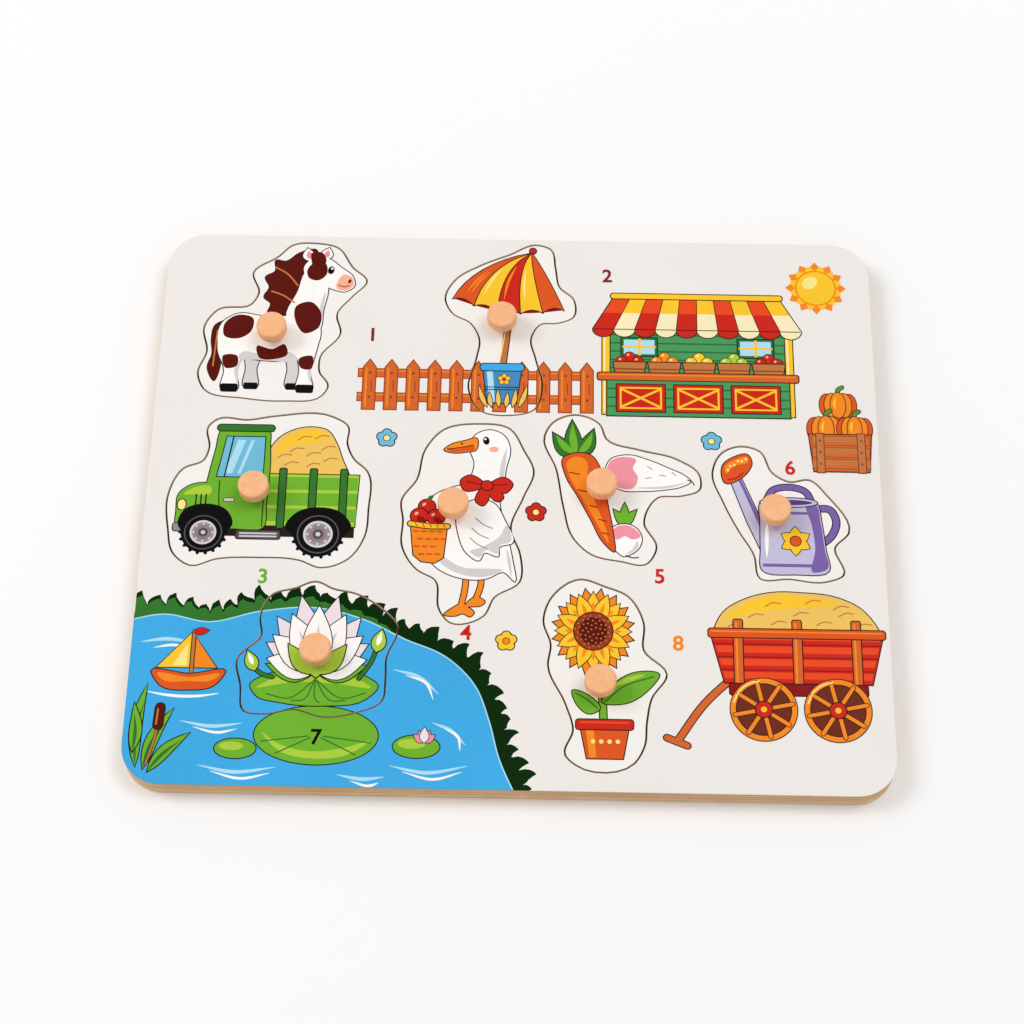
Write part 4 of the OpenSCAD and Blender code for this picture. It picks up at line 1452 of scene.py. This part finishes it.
def coat_mask(tree, top, depth):
    """One where the coat lies: on the top face, just below its edge and over the rounded rim."""
    height = upright(tree, object_place(tree))
    edge = ranged(tree, height, top - 1.15 * depth, top - 0.85 * depth)
    upper = maths(tree, "GREATER_THAN", height, top - RIM_DEPTH)
    rim = maths(tree, "MULTIPLY", upper, ranged(tree, facing_up(tree), 0.2, 0.35))
    return maths(tree, "MAXIMUM", edge, rim)


def sheet_material(name, settings, top, coat=None):
    """Plywood sheet with a white printed coat on its top face and over its rounded rim."""
    material, tree, surface = new_material(name)
    woods = settings.woods
    sizes = settings.print_sizes
    white = opaque(coat) if coat else board_coat(tree, woods, settings.inks)
    film = place_group(tree, film_group(), Colour=white, Clouding=COAT_CLOUDING)
    ply = place_group(tree, ply_group(), Top=top, Thickness=sizes.ply_thickness)
    along = place_grain(tree, woods.ply_pale, woods.ply_dark, EDGE_GRAIN)
    across = place_grain(tree, woods.ply_dark, woods.ply_glue, CROSS_GRAIN)
    cross = maths(tree, "MULTIPLY", ply["Cross ply"], CROSS_SHARE)
    glue = maths(tree, "MULTIPLY", ply["Glue"], GLUE_SHARE)
    # Painted light: the walls of the cut-outs are mixed towards a near-white, more in the board's holes
    # than on the pieces
    pale = maths(tree, "MULTIPLY", cut_mask(tree), PAINTED_LIGHT_PIECE if coat else PAINTED_LIGHT_HOLE)
    wood = mixed(tree, cross, along["Colour"], across["Colour"])
    wood = mixed(tree, glue, wood, opaque(woods.ply_glue))
    wood = mixed(tree, pale, wood, opaque(woods.painted_wall_light))
    coated = coat_mask(tree, top, sizes.coat_depth)
    surface.inputs["Specular IOR Level"].default_value = FILM_SPECULAR
    dress_surface(tree, surface, mixed(tree, coated, wood, film["Colour"]),
                  blended(tree, coated, along["Roughness"], film["Roughness"]),
                  blended(tree, coated, along["Height"], film["Height"]), SHEET_RELIEF)
    return material


def backing_material(settings, top):
    """Bare plywood sheet: long face grain above and below, plies round its edge."""
    material, tree, surface = new_material("bare_plywood")
    woods = settings.woods
    face = place_grain(tree, woods.ply_pale, woods.ply_dark, FACE_GRAIN)
    edge = place_grain(tree, woods.ply_pale, woods.ply_dark, EDGE_GRAIN)
    ply = place_group(tree, ply_group(), Top=top, Thickness=settings.print_sizes.ply_thickness)
    glue = maths(tree, "MULTIPLY", ply["Glue"], GLUE_SHARE)
    side = mixed(tree, glue, edge["Colour"], opaque(woods.ply_glue))
    flat = ranged(tree, maths(tree, "ABSOLUTE", facing_up(tree)), 0.5, 0.9)
    dress_surface(tree, surface, mixed(tree, flat, side, face["Colour"]), face["Roughness"],
                  blended(tree, flat, edge["Height"], face["Height"]), BARE_RELIEF)
    return material


def knob_material(woods):
    """Turned and lightly waxed wood, its grain along the knob's axis."""
    material, tree, surface = new_material("turned_knob")
    grain = place_grain(tree, woods.knob_pale, woods.knob_dark, KNOB_GRAIN)
    dress_surface(tree, surface, grain["Colour"], grain["Roughness"], grain["Height"], KNOB_RELIEF)
    surface.inputs["Coat Weight"].default_value = KNOB_WAX
    surface.inputs["Coat Roughness"].default_value = WAX_ROUGHNESS
    return material


def give(node, material):
    """Makes a material the only one of a CAD node."""
    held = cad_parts[node].data.materials
    held.clear()
    held.append(material)


# Stage
FLOOR_CLOUD = 3.0
FLOOR_FADE = 0.4
FLOOR_ROUGHNESS = 0.9
SENSOR_WIDTH = 36.0
WHITE = (1, 1, 1, 1)
BLACK = (0, 0, 0, 1)


# Operators
class PEGPUZZLE_OT_woods(Operator):
    """Gives the board, the pieces and the knobs their coats and woods"""

    bl_idname = "peg_puzzle.woods"
    bl_label = "Coats and woods"
    bl_options = {"REGISTER", "UNDO"}

    def execute(self, context):
        settings = context.scene.peg_puzzle
        backing_top, frame_top, piece_top = [
            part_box(node)[1].z for node in ("backing_board", "frame_board", FIGURES[0] + "_piece")]
        piece_finish = sheet_material("coated_piece", settings, piece_top, settings.woods.piece_coat)
        knob_finish = knob_material(settings.woods)
        give("backing_board", backing_material(settings, backing_top))
        give("frame_board", sheet_material("coated_board", settings, frame_top))
        for figure in FIGURES:
            give(figure + "_piece", piece_finish)
            give(figure + "_knob", knob_finish)
        return {"FINISHED"}


class PEGPUZZLE_OT_figures(Operator):
    """Prints a figure on each piece, over the scenery that runs across it"""

    bl_idname = "peg_puzzle.figures"
    bl_label = "Figures"
    bl_options = {"REGISTER", "UNDO"}

    def execute(self, context):
        for figure, draw in zip(FIGURES, DRAWINGS):
            sheet = InkSheet()
            for draw_ground in GROUNDS.get(figure, ()):
                draw_ground(sheet)
            ground = [shape for shape in sheet.shapes if shape.meets(box_of(figure))]
            sheet.shapes = list(ground)
            sheet.origin = axis_of(figure)
            draw(sheet)
            own = sheet.shapes[len(ground):]
            lay_ink(context, figure + "_print", figure, figure + "_piece", own, ground)
        return {"FINISHED"}


class PEGPUZZLE_OT_scenery(Operator):
    """Prints the scenery on the board round the pieces"""

    bl_idname = "peg_puzzle.scenery"
    bl_label = "Scenery"
    bl_options = {"REGISTER", "UNDO"}

    def execute(self, context):
        for name, draw in SCENERY.items():
            sheet = InkSheet()
            draw(sheet)
            lay_on_board(context, name, sheet)
        return {"FINISHED"}


class PEGPUZZLE_OT_brook(Operator):
    """Prints the brook with what floats on it"""

    bl_idname = "peg_puzzle.brook"
    bl_label = "Brook"
    bl_options = {"REGISTER", "UNDO"}

    def execute(self, context):
        sheet = InkSheet()
        draw_water(sheet)
        draw_big_pad(sheet)
        draw_afloat(sheet)
        lay_on_board(context, "brook_print", sheet)
        return {"FINISHED"}


class PEGPUZZLE_OT_numerals(Operator):
    """Prints the plain numerals beside the pieces"""

    bl_idname = "peg_puzzle.numerals"
    bl_label = "Numerals"
    bl_options = {"REGISTER", "UNDO"}

    def execute(self, context):
        sizes = context.scene.peg_puzzle.print_sizes
        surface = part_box("frame_board")[1].z
        slabs = [numeral_slab(text, x, y, ink, surface, sizes) for text, x, y, ink in NUMERALS]
        finish_print(context, "numerals_print", "board", slabs)
        return {"FINISHED"}


class PEGPUZZLE_OT_stage(Operator):
    """Sets the floor, the light and the camera"""

    bl_idname = "peg_puzzle.stage"
    bl_label = "Stage"
    bl_options = {"REGISTER", "UNDO"}

    def execute(self, context):
        stage = context.scene.peg_puzzle.stage
        context.scene.view_settings.view_transform = "Standard"
        make_floor(stage)
        make_lamp("left_lamp", stage.left_lamp, stage.lamp_size, stage.left_power)
        make_lamp("right_lamp", stage.right_lamp, stage.lamp_size, stage.right_power)
        light_room(context.scene, stage.room_light)
        make_camera(context.scene, stage)
        return {"FINISHED"}


def make_floor(stage):
    """Pale floor under the board, plain white where it is far from it."""
    deselect()
    bpy.ops.mesh.primitive_plane_add(size=stage.floor_size)
    floor = bpy.context.object
    floor.name = "floor"
    material, tree, surface = new_material("pale_floor")
    place = object_place(tree)
    shade = ranged(tree, noise(tree, place, FLOOR_CLOUD), 0.3, 0.7, 0.995, 1.0)
    reach = vector_maths(tree, "LENGTH", place)["Value"]
    clear = ranged(tree, reach, FLOOR_FADE * stage.floor_clear, stage.floor_clear)
    far = maths(tree, "MULTIPLY", clear, straight_rays(tree))
    lit = mixed(tree, 1.0, opaque(stage.floor_tone), shade, "MULTIPLY")
    tree.links.new(mixed(tree, far, lit, BLACK), surface.inputs["Base Color"])
    tree.links.new(far, surface.inputs["Emission Strength"])
    surface.inputs["Emission Color"].default_value = WHITE
    surface.inputs["Roughness"].default_value = FLOOR_ROUGHNESS
    surface.inputs["Specular IOR Level"].default_value = 0.0
    floor.data.materials.append(material)


def aimed(place, aim):
    """Turn that looks from a place at an aim."""
    return (Vector(aim) - Vector(place)).to_track_quat("-Z", "Y")


def make_lamp(name, place, size, power):
    """Broad soft lamp that looks at the board."""
    bpy.ops.object.light_add(type="AREA", location=place)
    lamp = bpy.context.object
    lamp.name = name
    lamp.rotation_mode = "QUATERNION"
    lamp.rotation_quaternion = aimed(place, (0, 0, 0))
    lamp.data.size = size
    lamp.data.energy = power


def straight_rays(tree):
    """One for the rays of the camera, of gloss and of glass."""
    path = add_node(tree, "ShaderNodeLightPath").outputs
    seen = maths(tree, "MAXIMUM", path["Is Camera Ray"], path["Is Glossy Ray"])
    return maths(tree, "MAXIMUM", seen, path["Is Transmission Ray"])


def light_room(scene, strength):
    """Even light all round, seen as white by the camera and in gloss."""
    world = bpy.data.worlds.new("room")
    world.use_nodes = True
    tree = world.node_tree
    tree.nodes.clear()
    level = maths(tree, "MULTIPLY_ADD", straight_rays(tree), 1.0 - strength, strength)
    room = add_node(tree, "ShaderNodeBackground", {"Color": WHITE, "Strength": level})
    add_node(tree, "ShaderNodeOutputWorld", {"Surface": room.outputs[0]})
    scene.world = world


def make_camera(scene, stage):
    """Camera in front of the board and above it."""
    bpy.ops.object.camera_add(location=stage.camera_place)
    camera = bpy.context.object
    camera.name = "camera"
    camera.rotation_mode = "QUATERNION"
    roll = Quaternion((0, 0, 1), stage.camera_roll)
    camera.rotation_quaternion = aimed(stage.camera_place, stage.camera_aim) @ roll
    camera.data.lens = stage.lens
    camera.data.sensor_width = SENSOR_WIDTH
    camera.data.sensor_fit = "HORIZONTAL"
    scene.camera = camera


# What is drawn where, and the order of the steps
DRAWINGS = (
    draw_pony, draw_parasol, draw_lorry, draw_goose, draw_carrot, draw_can, draw_lily, draw_sunflower)
GROUNDS = {"parasol": (draw_fence,), "lily": (draw_water, draw_big_pad)}
SCENERY = {
    "fence_print": draw_fence, "stall_print": draw_stall, "sun_print": draw_sun,
    "harvest_print": draw_harvest, "cart_print": draw_cart, "flower_print": draw_flowers}
STEPS = ("woods", "figures", "scenery", "brook", "numerals", "stage")


# Sidebar
class PEGPUZZLE_PT_sidebar(Panel):
    """Steps and settings of the peg puzzle"""

    bl_label = "Peg puzzle"
    bl_space_type = "VIEW_3D"
    bl_region_type = "UI"
    bl_category = "Peg puzzle"

    def draw(self, context):
        settings = context.scene.peg_puzzle
        for step in STEPS:
            self.layout.operator("peg_puzzle." + step)
        for group in PuzzleSettings.__annotations__:
            section = self.layout.box()
            values = getattr(settings, group)
            for name in values.__annotations__:
                section.prop(values, name)


CLASSES = (
    InkColours, WoodColours, PrintSizes, StageSettings, PuzzleSettings,
    PEGPUZZLE_OT_woods, PEGPUZZLE_OT_figures, PEGPUZZLE_OT_scenery, PEGPUZZLE_OT_brook,
    PEGPUZZLE_OT_numerals, PEGPUZZLE_OT_stage, PEGPUZZLE_PT_sidebar)


def register():
    """Adds the settings, steps and sidebar."""
    for kind in CLASSES:
        bpy.utils.register_class(kind)
    bpy.types.Scene.peg_puzzle = PointerProperty(
        type=PuzzleSettings, name="Peg puzzle", description="All settings")


def unregister():
    """Takes the settings, steps and sidebar away."""
    del bpy.types.Scene.peg_puzzle
    for kind in reversed(CLASSES):
        bpy.utils.unregister_class(kind)


def main():
    """Builds the looks."""
    register()
    for step in STEPS:
        getattr(bpy.ops.peg_puzzle, step)()


if __name__ == "__main__":
    main()
